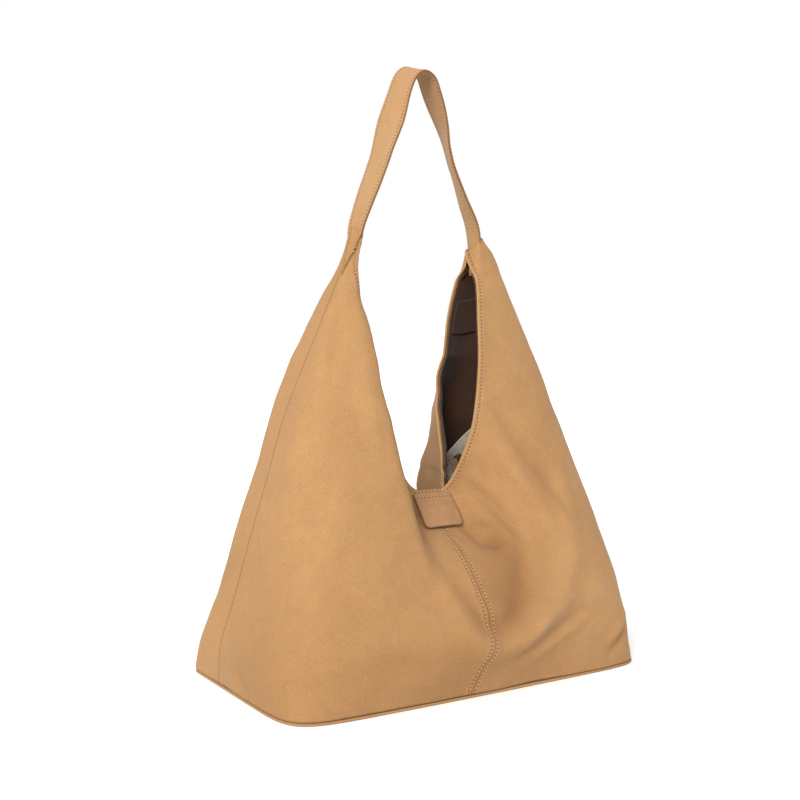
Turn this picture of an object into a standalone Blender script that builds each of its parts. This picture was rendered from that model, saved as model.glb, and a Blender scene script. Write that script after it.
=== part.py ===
"""Slouchy hobo bag in faux suede: four-panel body with a V opening, base, lining,
inner pouch, magnetic snap, label tab and one shoulder strap.

Metres, +Z up, X along the bag's length, the front faces -Y.
The origin is the centre of the base's underside.
"""
import math

import bpy
from mathutils import Matrix, Vector

# ---- driving dimensions (metres) ----
BASE_LENGTH = 0.400
BASE_DEPTH = 0.202
V_BOTTOM = 0.178          # height of the V opening's lowest point
PEAK = 0.417              # height of the panels' top edges, where the strap goes in
STRAP_AXIS = 0.4305       # height of the line about which the strap folds over
STRAP_TOP = 0.604
STRAP_WIDTH = 0.041
GAP = 0.0003              # clearance between neighbouring pieces

PANEL_THICKNESS = 0.0016
LINING_THICKNESS = 0.0010
FACING_THICKNESS = 0.0010
LAYER_GAP = 0.0004

HALF_LENGTH = BASE_LENGTH / 2
COLUMNS = 10              # facets across each quarter panel
SECTION_SAMPLES = 72      # points on the smooth cross-section that the facets are read from

# Profiles over height: each pair is (height, value). Depths are measured outward from Y = 0,
# so the back's centre, which the snap pulls forward past Y = 0, has negative ones.
CENTRE_FRONT = [(0, 0.104), (0.03, 0.121), (0.06, 0.130), (0.09, 0.113), (0.127, 0.077),
                (0.146, 0.046), (0.158, 0.0355), (V_BOTTOM, 0.034), (0.25, 0.040),
                (0.30, 0.041), (0.36, 0.027), (PEAK, 0.0125)]
CENTRE_BACK = [(0, 0.100), (0.03, 0.120), (0.06, 0.130), (0.09, 0.113), (0.12, 0.072),
               (0.146, 0.008), (0.158, -0.0145), (V_BOTTOM, -0.016), (0.21, -0.018),
               (0.24, -0.010), (0.27, 0.004), (0.322, 0.009), (0.37, 0.014), (PEAK, 0.0125)]
LOBE_DEPTH = [(0, 0.096), (0.03, 0.097), (0.06, 0.095), (0.10, 0.088), (0.14, 0.079),
              (V_BOTTOM, 0.069), (0.24, 0.054), (0.30, 0.041), (0.36, 0.027), (PEAK, 0.0125)]
# How far the belly and the pinch reach to either side, and how flat their middle is.
SPREAD_FRONT = [(0, 0.130), (0.06, 0.112), (0.12, 0.080), (V_BOTTOM, 0.066)]
SPREAD_BACK = [(0, 0.130), (0.06, 0.112), (0.12, 0.070), (0.15, 0.046), (V_BOTTOM, 0.037),
               (0.25, 0.045), (0.30, 0.066)]
CENTRE_FLATNESS = 2.6
EDGE_X = [(V_BOTTOM, 0.016), (0.199, 0.025), (0.217, 0.032), (0.25, 0.040), (0.288, 0.046),
          (0.323, 0.051), (0.36, 0.057), (0.396, 0.064), (PEAK, 0.067)]
SEAM_X = [(0, HALF_LENGTH - 0.002), (0.08, 0.187), (0.17, 0.167), (0.24, 0.150),
          (0.31, 0.126), (0.36, 0.107), (PEAK, 0.086)]
SEAM_Y = [(0, 0.022), (0.12, 0.020), (0.30, 0.010), (PEAK, 0.0)]
SQUARENESS = [(0, 8.0), (0.03, 5.0), (0.08, 3.4), (V_BOTTOM, 2.7), (0.24, 2.8), (0.32, 3.4),
              (PEAK, 5.0)]

BASE_PANEL_THICKNESS = 0.0026
PANEL_FOOT = BASE_PANEL_THICKNESS + GAP
BASE_BOARD_TOP = PANEL_FOOT + 0.0022
LINING_BASE_BOTTOM = BASE_BOARD_TOP + GAP
LINING_BASE_TOP = LINING_BASE_BOTTOM + LINING_THICKNESS
PANEL_ROWS = [PANEL_FOOT, LINING_BASE_TOP + GAP, 0.016, 0.035, 0.060, 0.090, 0.120, 0.140,
              0.158, V_BOTTOM, 0.185, 0.199, 0.220, 0.250, 0.285, 0.320, 0.355, 0.390, PEAK]

LINING_ROWS = PANEL_ROWS[1:]
FACING_ROWS = [z for z in PANEL_ROWS if z > 0.157]
BINDING_ROWS = [z for z in PANEL_ROWS if 0.010 < z < 0.36]
PATCH_ROWS = [z for z in PANEL_ROWS if z > 0.38]

LINING_DEPTH = PANEL_THICKNESS + LAYER_GAP
FACING_DEPTH = LINING_DEPTH + LINING_THICKNESS + LAYER_GAP
QUARTERS = {"front_left": (-1, -1), "front_right": (1, -1),
            "back_left": (-1, 1), "back_right": (1, 1)}


def clear_scene():
    for obj in list(bpy.data.objects):
        bpy.data.objects.remove(obj, do_unlink=True)


def material(name, colour, roughness, metallic=0.0):
    mat = bpy.data.materials.new(name)
    mat.use_nodes = True
    shader = mat.node_tree.nodes["Principled BSDF"]
    shader.inputs["Base Color"].default_value = (*colour, 1.0)
    shader.inputs["Roughness"].default_value = roughness
    shader.inputs["Metallic"].default_value = metallic
    return mat


def add_mesh(name, points, faces, mat, parent=None):
    mesh = bpy.data.meshes.new(name)
    mesh.from_pydata([tuple(p) for p in points], [], faces)
    mesh.validate()
    mesh.materials.append(mat)
    mesh.shade_smooth()
    mesh.set_sharp_from_angle(angle=math.radians(40))
    obj = bpy.data.objects.new(name, mesh)
    bpy.context.collection.objects.link(obj)
    if parent is not None:
        obj.parent = parent
    return obj


def set_origin(obj, point):
    """Put the object's origin at the point without moving its surface."""
    obj.data.transform(Matrix.Translation(-Vector(point)))
    obj.location = point


def read_profile(pairs, height):
    """Monotone cubic through the profile's pairs, held constant past its ends."""
    if height <= pairs[0][0]:
        return pairs[0][1]
    if height >= pairs[-1][0]:
        return pairs[-1][1]
    widths = [b[0] - a[0] for a, b in zip(pairs, pairs[1:])]
    rises = [(b[1] - a[1]) / w for a, b, w in zip(pairs, pairs[1:], widths)]
    slopes = [rises[0]]
    for left, right in zip(rises, rises[1:]):
        slopes.append(0.0 if left * right <= 0 else 2 * left * right / (left + right))
    slopes.append(rises[-1])
    i = max(k for k in range(len(widths)) if pairs[k][0] <= height)
    t = (height - pairs[i][0]) / widths[i]
    return (pairs[i][1] * (1 + 2 * t) * (1 - t) ** 2
            + slopes[i] * widths[i] * t * (1 - t) ** 2
            + pairs[i + 1][1] * t * t * (3 - 2 * t)
            + slopes[i + 1] * widths[i] * t * t * (t - 1))


def grid_shell(name, outer, inner, mat, parent=None, turn=None):
    """One closed body between two grids of points with the same rows and columns.

    From column turn on, the facets are split along their other diagonal, so that layers whose
    columns run the opposite way stay parallel.
    """
    rows, cols = len(outer), len(outer[0])
    points = [p for row in outer for p in row] + [p for row in inner for p in row]
    half = rows * cols
    faces = []
    for r in range(rows - 1):
        for c in range(cols - 1):
            a = r * cols + c
            halves = ((a, a + 1, a + cols + 1), (a, a + cols + 1, a + cols))
            if turn is not None and c >= turn:
                halves = ((a, a + 1, a + cols), (a + 1, a + cols + 1, a + cols))
            for b in halves:
                faces.append(b)
                faces.append(tuple(half + i for i in reversed(b)))
    border = ([(0, c) for c in range(cols - 1)]
              + [(r, cols - 1) for r in range(rows - 1)]
              + [(rows - 1, c) for c in range(cols - 1, 0, -1)]
              + [(r, 0) for r in range(rows - 1, 0, -1)])
    loop = [r * cols + c for r, c in border]
    for a, b in zip(loop, loop[1:] + loop[:1]):
        faces.append((b, a, half + a, half + b))
    return add_mesh(name, points, outward(points, faces), mat, parent)


def outward(points, faces):
    """Turn all the faces round where they enclose a negative volume."""
    volume = 0.0
    for face in faces:
        first = Vector(points[face[0]])
        for b, c in zip(face[1:], face[2:]):
            volume += first.dot(Vector(points[b]).cross(Vector(points[c])))
    return faces if volume > 0 else [tuple(reversed(face)) for face in faces]


def section(side, face, height, depth, first=0, last=COLUMNS):
    """Points across one quarter of the bag at a height, from its centre or V edge to its side seam.

    side is -1 left or 1 right, face is -1 front or 1 back, depth is how far inside the outer
    surface the points lie.
    """
    inner_x = GAP if height <= V_BOTTOM else read_profile(EDGE_X, height)
    centre = read_profile(CENTRE_FRONT if face < 0 else CENTRE_BACK, height)
    lobe = read_profile(LOBE_DEPTH, height)
    seam_x = read_profile(SEAM_X, height)
    seam_y = face * read_profile(SEAM_Y, height)
    spread = read_profile(SPREAD_FRONT if face < 0 else SPREAD_BACK, height)
    power = 2 / read_profile(SQUARENESS, height)
    start = math.asin((inner_x / seam_x) ** (1 / power))
    curve = []
    for k in range(SECTION_SAMPLES + 1):
        angle = start + (math.pi / 2 - start) * k / SECTION_SAMPLES
        x = seam_x * math.sin(angle) ** power
        along = max(math.cos(angle), 0.0) ** power
        near = math.exp(-(x / spread) ** CENTRE_FLATNESS)
        out = seam_y + GAP + (lobe - seam_y - GAP) * along + (centre - lobe) * near * along
        curve.append((x, face * out))
    lengths = [0.0]
    for a, b in zip(curve, curve[1:]):
        lengths.append(lengths[-1] + math.hypot(b[0] - a[0], b[1] - a[1]))
    points = []
    for column in range(first, last + 1):
        share = column / COLUMNS
        target = lengths[-1] * share
        k = next(i for i in range(SECTION_SAMPLES) if lengths[i + 1] >= target - 1e-9)
        t = (target - lengths[k]) / (lengths[k + 1] - lengths[k])
        x, y = (a + (b - a) * t for a, b in zip(curve[k], curve[k + 1]))
        turn = math.pi / 2 * share * share
        points.append((side * (x - depth * math.sin(turn)),
                       y - face * depth * math.cos(turn), height))
    return points


def quarter_shell(name, side, face, rows, depth, thickness, mat, first=0, last=COLUMNS):
    outer = [section(side, face, z, depth, first, last) for z in rows]
    inner = [section(side, face, z, depth + thickness, first, last) for z in rows]
    return grid_shell(name, outer, inner, mat)


def wrap_shell(name, side, rows, depth, thickness, mat, columns):
    """A strip that runs round the inside of a side seam, over columns facets on each panel."""
    def around(z, d):
        first = COLUMNS - columns
        front = section(side, -1, z, d, first, COLUMNS)
        back = section(side, 1, z, d, first, COLUMNS)
        return front + back[::-1]
    outer = [around(z, depth) for z in rows]
    inner = [around(z, depth + thickness) for z in rows]
    return grid_shell(name, outer, inner, mat, turn=columns + 1)


def plate(name, bottom, top, depth, mat):
    """A flat plate with the bag's base outline, pulled in by depth."""
    outline = []
    for side, face in ((1, -1), (1, 1), (-1, 1), (-1, -1)):
        quarter = section(side, face, 0.0, depth)
        if side * face > 0:
            quarter = quarter[::-1]
        outline += quarter
    ring = len(outline)
    points = [(x, y, bottom) for x, y, _ in outline] + [(x, y, top) for x, y, _ in outline]
    faces = [tuple(range(ring)), tuple(range(2 * ring - 1, ring - 1, -1))]
    for k in range(ring):
        n = (k + 1) % ring
        faces.append((n, k, ring + k, ring + n))
    return add_mesh(name, points, outward(points, faces), mat)


def box_mesh(name, low, high, mat, parent=None):
    xs, ys, zs = zip(low, high)
    points = [(x, y, z) for x in xs for y in ys for z in zs]
    faces = [(0, 1, 3, 2), (4, 6, 7, 5), (0, 4, 5, 1), (2, 3, 7, 6), (0, 2, 6, 4), (1, 5, 7, 3)]
    return add_mesh(name, points, outward(points, faces), mat, parent)


def lathe(name, profile, centre, sides, mat):
    """A turned piece about Y through the centre: profile is (radius, y) pairs of a closed loop."""
    points, faces = [], []
    count = len(profile)
    for k in range(sides):
        angle = 2 * math.pi * k / sides
        for radius, y in profile:
            points.append((centre[0] + radius * math.cos(angle), centre[1] + y,
                           centre[2] + radius * math.sin(angle)))
    for k in range(sides):
        n = (k + 1) % sides
        for i in range(count):
            j = (i + 1) % count
            faces.append((k * count + i, k * count + j, n * count + j, n * count + i))
    return add_mesh(name, points, outward(points, faces), mat)


# ---- body panels, lining and reinforcement ----

def build_body(suede, lining, tape):
    for quarter, (side, face) in QUARTERS.items():
        quarter_shell(quarter + "_panel", side, face, PANEL_ROWS, 0.0, PANEL_THICKNESS, suede)
        quarter_shell(quarter + "_lining", side, face, LINING_ROWS, LINING_DEPTH,
                      LINING_THICKNESS, lining)
        quarter_shell(quarter + "_facing", side, face, FACING_ROWS, FACING_DEPTH,
                      FACING_THICKNESS, suede, 0, 1)
    for word, side in (("left", -1), ("right", 1)):
        wrap_shell(word + "_seam_binding", side, BINDING_ROWS, FACING_DEPTH, 0.0008, tape, 1)
        wrap_shell(word + "_peak_patch", side, PATCH_ROWS, FACING_DEPTH, 0.0012, tape, 6)


def build_base(suede, board, lining):
    plate("base_panel", 0.0, BASE_PANEL_THICKNESS, 0.0, suede)
    plate("base_board", PANEL_FOOT, BASE_BOARD_TOP, 0.0045, board)
    plate("lining_base", LINING_BASE_BOTTOM, LINING_BASE_TOP, 0.0045, lining)


# ---- magnetic snap at the V's lowest point ----

SNAP_CENTRE = (0.0, -0.025, 0.1675)
SNAP_RADIUS = 0.007
SNAP_SIDES = 20


def build_snap(metal):
    socket = [(0.0034, -0.0040), (SNAP_RADIUS, -0.0040), (SNAP_RADIUS, -GAP / 2), (0.0034, -GAP / 2)]
    lathe("snap_socket", socket, SNAP_CENTRE, SNAP_SIDES, metal)
    tiny = 0.0006
    stud = [(tiny, -0.0030), (0.0030, -0.0030), (0.0030, GAP / 2), (SNAP_RADIUS, GAP / 2),
            (SNAP_RADIUS, 0.0040), (tiny, 0.0040)]
    lathe("snap_stud", stud, SNAP_CENTRE, SNAP_SIDES, metal)


# ---- label tab ----

TAB_HALF_WIDTH = 0.0225
TAB_THICKNESS = 0.0014
TAB_AXIS = (0.0, -0.0400, 0.1660)
TAB_TIP = (0.0, -0.0620, 0.1430)
TAB_CORNER = 0.006
ROOT_RISE = 0.0019        # clear of the tab as it turns up


def build_tab(leather):
    hinge_y = TAB_AXIS[1]
    root = []
    for x in (-TAB_HALF_WIDTH, TAB_HALF_WIDTH):
        root.append([(x, hinge_y + 0.0005, TAB_AXIS[2] + ROOT_RISE), (x, hinge_y + 0.0005, V_BOTTOM)])
    back = [[(x, y + TAB_THICKNESS, z) for x, y, z in row] for row in root]
    grid_shell("label_tab_root", root, back, leather)

    down = (Vector(TAB_TIP) - Vector(TAB_AXIS))
    length = down.length
    down.normalize()
    normal = Vector((0, down.z, -down.y)).normalized()
    stations = [0.0, 0.5, 0.78, 0.88, 0.94, 0.98, 1.0]
    outer, inner = [], []
    for station in stations:
        centre = Vector(TAB_AXIS) + down * (length * station)
        inset = max(0.0, TAB_CORNER - length * (1 - station))
        half = TAB_HALF_WIDTH - TAB_CORNER + math.sqrt(max(TAB_CORNER ** 2 - inset ** 2, 0.0))
        outer.append([centre + Vector((x * half, 0, 0)) for x in (-1, 0, 1)])
        inner.append([p + normal * TAB_THICKNESS for p in outer[-1]])
    tab = grid_shell("label_tab", outer, inner, leather)
    set_origin(tab, TAB_AXIS)


# ---- shoulder strap ----

ARCH = [(0.0, 0.6022), (0.0085, 0.5985), (0.0165, 0.5850), (0.0290, 0.5500), (0.0440, 0.5100),
        (0.0590, 0.4680), (0.0700, 0.4400), (0.0735, STRAP_AXIS), (0.0752, 0.4215)]
STRAP_END_RADIUS = 0.0085
STRAP_HALF_WIDTHS = [(STRAP_AXIS, STRAP_END_RADIUS), (0.450, 0.0100), (0.475, 0.0165),
                     (0.510, STRAP_WIDTH / 2), (STRAP_TOP, STRAP_WIDTH / 2)]
ARCH_STEPS = 5            # stations between two neighbouring points of the arch
STRAP_LAYERS = {"strap_outer": (0.0008, 0.0018, 0.0), "strap_core": (-0.0005, 0.0005, 0.003),
                "strap_backing": (-0.0018, -0.0008, 0.0)}


def catmull(points, steps):
    """Points on a smooth curve through the given points."""
    padded = [points[0]] + points + [points[-1]]
    curve = []
    for p0, p1, p2, p3 in zip(padded, padded[1:], padded[2:], padded[3:]):
        for k in range(steps):
            t = k / steps
            curve.append(tuple(
                0.5 * (2 * b + (c - a) * t + (2 * a - 5 * b + 4 * c - d) * t * t
                       + (3 * b - a - 3 * c + d) * t ** 3)
                for a, b, c, d in zip(p0, p1, p2, p3)))
    return curve + [points[-1]]


def strap_path():
    right = [p for p in ARCH]
    left = [(-x, z) for x, z in right[:0:-1]]
    return catmull(left + right, ARCH_STEPS)


def strap_half_width(height):
    below = STRAP_AXIS - height
    if below > 0:
        return math.sqrt(max(STRAP_END_RADIUS ** 2 - below ** 2, 0.0004 ** 2))
    return read_profile(STRAP_HALF_WIDTHS, height)


def build_strap(suede, backing, webbing):
    path = [p for p in strap_path() if p[1] > STRAP_AXIS - 0.95 * STRAP_END_RADIUS]
    mats = {"strap_outer": suede, "strap_core": webbing, "strap_backing": backing}
    for name, (low, high, narrower) in STRAP_LAYERS.items():
        grids = ([], [])
        for k, (x, z) in enumerate(path):
            before, after = path[max(k - 1, 0)], path[min(k + 1, len(path) - 1)]
            tangent = Vector((after[0] - before[0], 0, after[1] - before[1])).normalized()
            normal = Vector((-tangent.z, 0, tangent.x))
            half = max(strap_half_width(z) - narrower, 0.0005)
            for grid, offset in zip(grids, (high, low)):
                centre = Vector((x, 0, z)) + normal * offset
                grid.append([centre + Vector((0, y * half, 0)) for y in (-1, 0, 1)])
        layer = grid_shell(name, grids[0], grids[1], mats[name])
        set_origin(layer, (0, 0, STRAP_AXIS))


STUB_TOP = PEAK + 0.0016
STUB_BOTTOM = 0.388
STUB_HALF_WIDTH = 0.0065
STUB_THICKNESS = 0.0030


def build_strap_ends(suede):
    """The strap's two ends, sewn inside the peaks."""
    for word, side in (("left", -1), ("right", 1)):
        outer, inner = [], []
        for z, x in ((STUB_BOTTOM, 0.0760), (STUB_TOP, 0.0735)):
            outer.append([(side * x, y, z) for y in (-STUB_HALF_WIDTH, STUB_HALF_WIDTH)])
            inner.append([(side * (x - STUB_THICKNESS), y, z)
                          for y in (-STUB_HALF_WIDTH, STUB_HALF_WIDTH)])
        grid_shell("strap_end_" + word, outer, inner, suede)


# ---- inner pouch with its zip ----

POUCH_CORNER = (0.038, -0.0120, 0.197)   # lower end of the top edge
POUCH_TILT = math.radians(25)
POUCH_LENGTH = 0.088
POUCH_DEPTH = 0.072
WALL = 0.0009
ZIP_TRAVEL = 0.062
SLIDER_START = 0.010
PULL_LENGTH = 0.016


def build_pouch(cloth, tape, metal):
    frame = bpy.data.objects.new("pouch_frame", None)
    bpy.context.collection.objects.link(frame)
    frame.location = POUCH_CORNER
    frame.rotation_euler = (0, -POUCH_TILT, 0)
    box_mesh("pouch_back_wall", (0, GAP, -POUCH_DEPTH), (POUCH_LENGTH, GAP + WALL, 0), cloth, frame)
    box_mesh("pouch_front_wall", (0, -GAP - WALL, -POUCH_DEPTH), (POUCH_LENGTH, -GAP, 0), cloth, frame)
    zip_top = 0.0085
    box_mesh("zip_tape_back", (0, GAP, GAP), (POUCH_LENGTH, GAP + WALL, zip_top), tape, frame)
    box_mesh("zip_tape_front", (0, -GAP - WALL, GAP), (POUCH_LENGTH, -GAP, zip_top), tape, frame)

    slider = slider_mesh("zip_slider", metal, frame, zip_top)
    slider.location = (SLIDER_START, 0, 0)
    pull = box_mesh("zip_pull", (-0.0022, -0.0007, -PULL_LENGTH), (0.0022, 0.0003, 0.0006), metal, frame)
    pull.location = (SLIDER_START, PULL_AXIS_Y, PULL_AXIS_Z)


PULL_AXIS_Y = -0.0046
PULL_AXIS_Z = 0.0080


def slider_mesh(name, metal, parent, zip_top):
    """A saddle over the zip's top edge: a bridge with a cheek down each side of the tapes."""
    cheek_in = GAP + WALL + GAP
    cheek_out = cheek_in + 0.0012
    low = zip_top - 0.0050
    high = zip_top + GAP
    roof = high + 0.0012
    outline = [(-cheek_out, low), (-cheek_in, low), (-cheek_in, high), (cheek_in, high),
               (cheek_in, low), (cheek_out, low), (cheek_out, roof), (-cheek_out, roof)]
    half = 0.0035
    count = len(outline)
    points = [(x, y, z) for x in (-half, half) for y, z in outline]
    faces = [(0, 1, 2, 7), (2, 3, 6, 7), (3, 4, 5, 6)]
    faces += [tuple(count + i for i in reversed(face)) for face in faces]
    for i in range(count):
        j = (i + 1) % count
        faces.append((j, i, count + i, count + j))
    return add_mesh(name, points, outward(points, faces), metal, parent)


def build():
    clear_scene()
    suede = material("faux_suede", (0.58, 0.33, 0.15), 0.85)
    strap_suede = material("strap_suede", (0.64, 0.38, 0.19), 0.85)
    lining = material("lining", (0.10, 0.055, 0.03), 0.8)
    pouch_cloth = material("pouch_cloth", (0.42, 0.37, 0.31), 0.8)
    leather = material("tab_leather", (0.50, 0.27, 0.12), 0.6)
    tape = material("seam_tape", (0.13, 0.07, 0.04), 0.8)
    board = material("stiffener_board", (0.25, 0.22, 0.18), 0.7)
    metal = material("antique_metal", (0.45, 0.36, 0.22), 0.35, 1.0)
    build_body(suede, lining, tape)
    build_base(suede, board, lining)
    build_snap(metal)
    build_tab(leather)
    build_strap(strap_suede, strap_suede, tape)
    build_strap_ends(strap_suede)
    build_pouch(pouch_cloth, tape, metal)


build()
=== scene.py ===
"""A suede hobo bag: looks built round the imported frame."""
import math

import bpy
import numpy as np
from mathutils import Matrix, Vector, noise


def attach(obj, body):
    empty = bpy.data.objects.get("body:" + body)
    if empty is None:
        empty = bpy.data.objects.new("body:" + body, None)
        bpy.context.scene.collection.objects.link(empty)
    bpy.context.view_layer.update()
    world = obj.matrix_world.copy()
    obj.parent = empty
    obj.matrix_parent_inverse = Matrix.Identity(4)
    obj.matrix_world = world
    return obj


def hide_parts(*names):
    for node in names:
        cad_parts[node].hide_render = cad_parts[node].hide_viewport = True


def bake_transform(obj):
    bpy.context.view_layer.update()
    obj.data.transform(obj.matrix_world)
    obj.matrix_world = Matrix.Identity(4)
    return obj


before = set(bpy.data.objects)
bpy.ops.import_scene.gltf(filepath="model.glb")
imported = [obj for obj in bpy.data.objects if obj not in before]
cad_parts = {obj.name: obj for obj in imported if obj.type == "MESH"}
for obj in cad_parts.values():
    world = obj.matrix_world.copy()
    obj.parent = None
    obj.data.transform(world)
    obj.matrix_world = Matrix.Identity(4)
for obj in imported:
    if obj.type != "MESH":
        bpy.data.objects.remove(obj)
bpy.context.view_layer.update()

# ---- camera, light and floor ----

CAMERA_AZIMUTH = math.radians(32)     # to the left of the bag's front
CAMERA_PITCH = 0.0663
CAMERA_DISTANCE = 1.2063
CAMERA_HEIGHT = 0.3471
CAMERA_SIDESTEP = -0.0153
LENS_MM = 54.6
SENSOR_MM = 36
KEY_FROM = (-2.1, -1.9, 1.5)          # direction that the key light comes from
KEY_STRENGTH, KEY_SOFTNESS = 4.6, math.radians(32)
KEY_COLOUR = (1, 0.985, 0.96)
FLOOR_HALF = 40.0
FLOOR_GREY = 0.80


def add_camera():
    right = Vector((math.cos(CAMERA_AZIMUTH), -math.sin(CAMERA_AZIMUTH), 0))
    ahead = Vector((math.sin(CAMERA_AZIMUTH), math.cos(CAMERA_AZIMUTH), 0))
    view = ahead * math.cos(CAMERA_PITCH) - Vector((0, 0, math.sin(CAMERA_PITCH)))
    camera = bpy.data.objects.new("camera", bpy.data.cameras.new("camera"))
    camera.data.lens = LENS_MM
    camera.data.sensor_width = SENSOR_MM
    camera.location = -CAMERA_DISTANCE * ahead + right * CAMERA_SIDESTEP
    camera.location.z = CAMERA_HEIGHT
    camera.rotation_euler = view.to_track_quat("-Z", "Y").to_euler()
    bpy.context.scene.collection.objects.link(camera)
    bpy.context.scene.camera = camera


def add_key_light():
    """A broad soft light, even over the whole floor."""
    light = bpy.data.lights.new("key", "SUN")
    light.energy = KEY_STRENGTH
    light.angle = KEY_SOFTNESS
    light.color = KEY_COLOUR
    obj = bpy.data.objects.new("key", light)
    obj.location = KEY_FROM
    obj.rotation_euler = (-Vector(KEY_FROM)).to_track_quat("-Z", "Y").to_euler()
    bpy.context.scene.collection.objects.link(obj)


def add_surroundings():
    world = bpy.data.worlds.new("studio")
    bpy.context.scene.world = world
    world.use_nodes = True
    background = world.node_tree.nodes["Background"]
    background.inputs["Color"].default_value = (1, 1, 1, 1)
    background.inputs["Strength"].default_value = 1.0
    add_key_light()
    bpy.context.scene.view_settings.view_transform = "Standard"

    corners = [(-1, -1), (1, -1), (1, 1), (-1, 1)]
    mesh = bpy.data.meshes.new("floor")
    mesh.from_pydata([(x * FLOOR_HALF, y * FLOOR_HALF, 0) for x, y in corners], [], [(0, 1, 2, 3)])
    floor = bpy.data.objects.new("floor", mesh)
    bpy.context.scene.collection.objects.link(floor)
    mat, shader = new_material("pale_floor")[:2]
    shader.inputs["Base Color"].default_value = (FLOOR_GREY, FLOOR_GREY, FLOOR_GREY, 1)
    shader.inputs["Roughness"].default_value = 0.9
    shader.inputs["Specular IOR Level"].default_value = 0.1
    mesh.materials.append(mat)


# ---- materials ----

def new_material(name):
    mat = bpy.data.materials.new(name)
    mat.use_nodes = True
    tree = mat.node_tree
    return mat, tree.nodes["Principled BSDF"], tree


def add_node(tree, kind, inputs=None, **settings):
    """A shader node; each input is a value or the socket that feeds it."""
    made = tree.nodes.new("ShaderNode" + kind)
    for key, value in settings.items():
        setattr(made, key, value)
    for key, value in (inputs or {}).items():
        if isinstance(value, bpy.types.NodeSocket):
            tree.links.new(value, made.inputs[key])
        else:
            made.inputs[key].default_value = value
    return made


def add_noise(tree, coords, scale, detail=2.0, distortion=0.0):
    return add_node(tree, "TexNoise", {"Vector": coords, "Scale": scale, "Detail": detail,
                                       "Distortion": distortion}).outputs["Fac"]


def blend_colours(tree, factor, first, second, mode="MIX"):
    mix = add_node(tree, "Mix", {0: factor, 6: first, 7: second}, data_type="RGBA",
                   blend_type=mode, clamp_factor=True)
    return mix.outputs[2]


def ramp(tree, factor, stops):
    """A colour ramp over (place, grey or colour) stops."""
    made = add_node(tree, "ValToRGB", {"Fac": factor})
    elements = made.color_ramp.elements
    while len(elements) < len(stops):
        elements.new(0.5)
    for element, (place, tone) in zip(elements, stops):
        element.position = place
        element.color = (*tone, 1) if isinstance(tone, tuple) else (tone, tone, tone, 1)
    return made.outputs["Color"]


def bump(tree, height, strength, distance, after=None):
    inputs = {"Height": height, "Strength": strength, "Distance": distance}
    if after is not None:
        inputs["Normal"] = after
    return add_node(tree, "Bump", inputs).outputs["Normal"]


def tint(tree, base, *tones):
    """The colour multiplied by each grey ramp in turn."""
    for tone in tones:
        base = blend_colours(tree, 1.0, base, tone, "MULTIPLY")
    return base


def connect(tree, shader, base, roughness, normal):
    for socket, name in ((base, "Base Color"), (roughness, "Roughness"), (normal, "Normal")):
        tree.links.new(socket, shader.inputs[name])


def suede(name, dark, light, sheen, grain=1.0):
    """Brushed faux suede: cloudy pile and fine fibres, with a darker colour blended in for painted shade
    in grooves, seams, creases and hollows (and the strap's dark painted edge), and a paler one for
    painted highlight on fold ridges, with rubbed wear on folded edges.
    """
    mat, shader, tree = new_material(name)
    coords = add_node(tree, "TexCoord").outputs["Object"]
    cloud = add_noise(tree, coords, 7, 4, 0.6)
    brushed = add_noise(tree, coords, 55, 5, 1.2)
    fibre = add_noise(tree, coords, 900, 3)
    speck = add_noise(tree, coords, 2600, 2)
    base = blend_colours(tree, ramp(tree, cloud, [(0.3, 0.0), (0.7, 1.0)]), (*dark, 1), (*light, 1))
    base = tint(tree, base, ramp(tree, brushed, [(0.25, 0.94), (0.75, 1.05)]))
    tone = ramp(tree, fibre, [(0.3, 0.86), (0.7, 1.12)])
    base = blend_colours(tree, grain, base, tone, "MULTIPLY")
    # painted shade: the shade field darkens grooves, seams, creases and hollows, and marks the strap's
    # dark painted edge
    shade_and_edge_paint = add_node(tree, "Attribute", attribute_name="shade").outputs["Fac"]
    shade_and_edge_colour = (dark[0] * 0.46, dark[1] * 0.31, dark[2] * 0.20, 1)
    base = blend_colours(tree, shade_and_edge_paint, base, shade_and_edge_colour)
    # painted highlight on fold ridges, with rubbed wear along folded edges, as a paler colour
    rub = add_node(tree, "Attribute", attribute_name="rub").outputs["Fac"]
    rub_and_highlight_colour = (min(light[0] * 1.18, 1), min(light[1] * 1.24, 1), min(light[2] * 1.34, 1), 1)
    base = blend_colours(tree, rub, base, rub_and_highlight_colour)
    normal = bump(tree, brushed, 0.25, 0.0012)
    normal = bump(tree, fibre, 0.35 * grain, 0.0004, normal)
    normal = bump(tree, speck, 0.35 * grain, 0.0002, normal)
    connect(tree, shader, base, ramp(tree, brushed, [(0.3, 0.82), (0.7, 0.95)]), normal)
    shader.inputs["Specular IOR Level"].default_value = 0.18
    shader.inputs["Sheen Weight"].default_value = sheen
    shader.inputs["Sheen Roughness"].default_value = 0.45
    shader.inputs["Sheen Tint"].default_value = (1.0, 0.88, 0.72, 1)
    return mat


def smooth_leather(name, colour, edge):
    """The tab's pressed leather: fine pebble grain and a burnished edge."""
    mat, shader, tree = new_material(name)
    coords = add_node(tree, "TexCoord").outputs["Object"]
    cloud = add_noise(tree, coords, 90, 4)
    pebble = add_node(tree, "TexVoronoi", {"Vector": coords, "Scale": 1500},
                      feature="SMOOTH_F1").outputs["Distance"]
    tone = ramp(tree, cloud, [(0.25, 0.84), (0.75, 1.12)])
    base = tint(tree, (*colour, 1), tone)
    # the burnished edge's own dark colour, with painted shade along the stitch rows
    burnish_and_shade = add_node(tree, "Attribute", attribute_name="shade").outputs["Fac"]
    base = blend_colours(tree, burnish_and_shade, base, (*edge, 1))
    normal = bump(tree, cloud, 0.2, 0.0008, bump(tree, pebble, 0.25, 0.0003))
    connect(tree, shader, base, ramp(tree, cloud, [(0.3, 0.48), (0.7, 0.66)]), normal)
    shader.inputs["Specular IOR Level"].default_value = 0.35
    return mat


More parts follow.
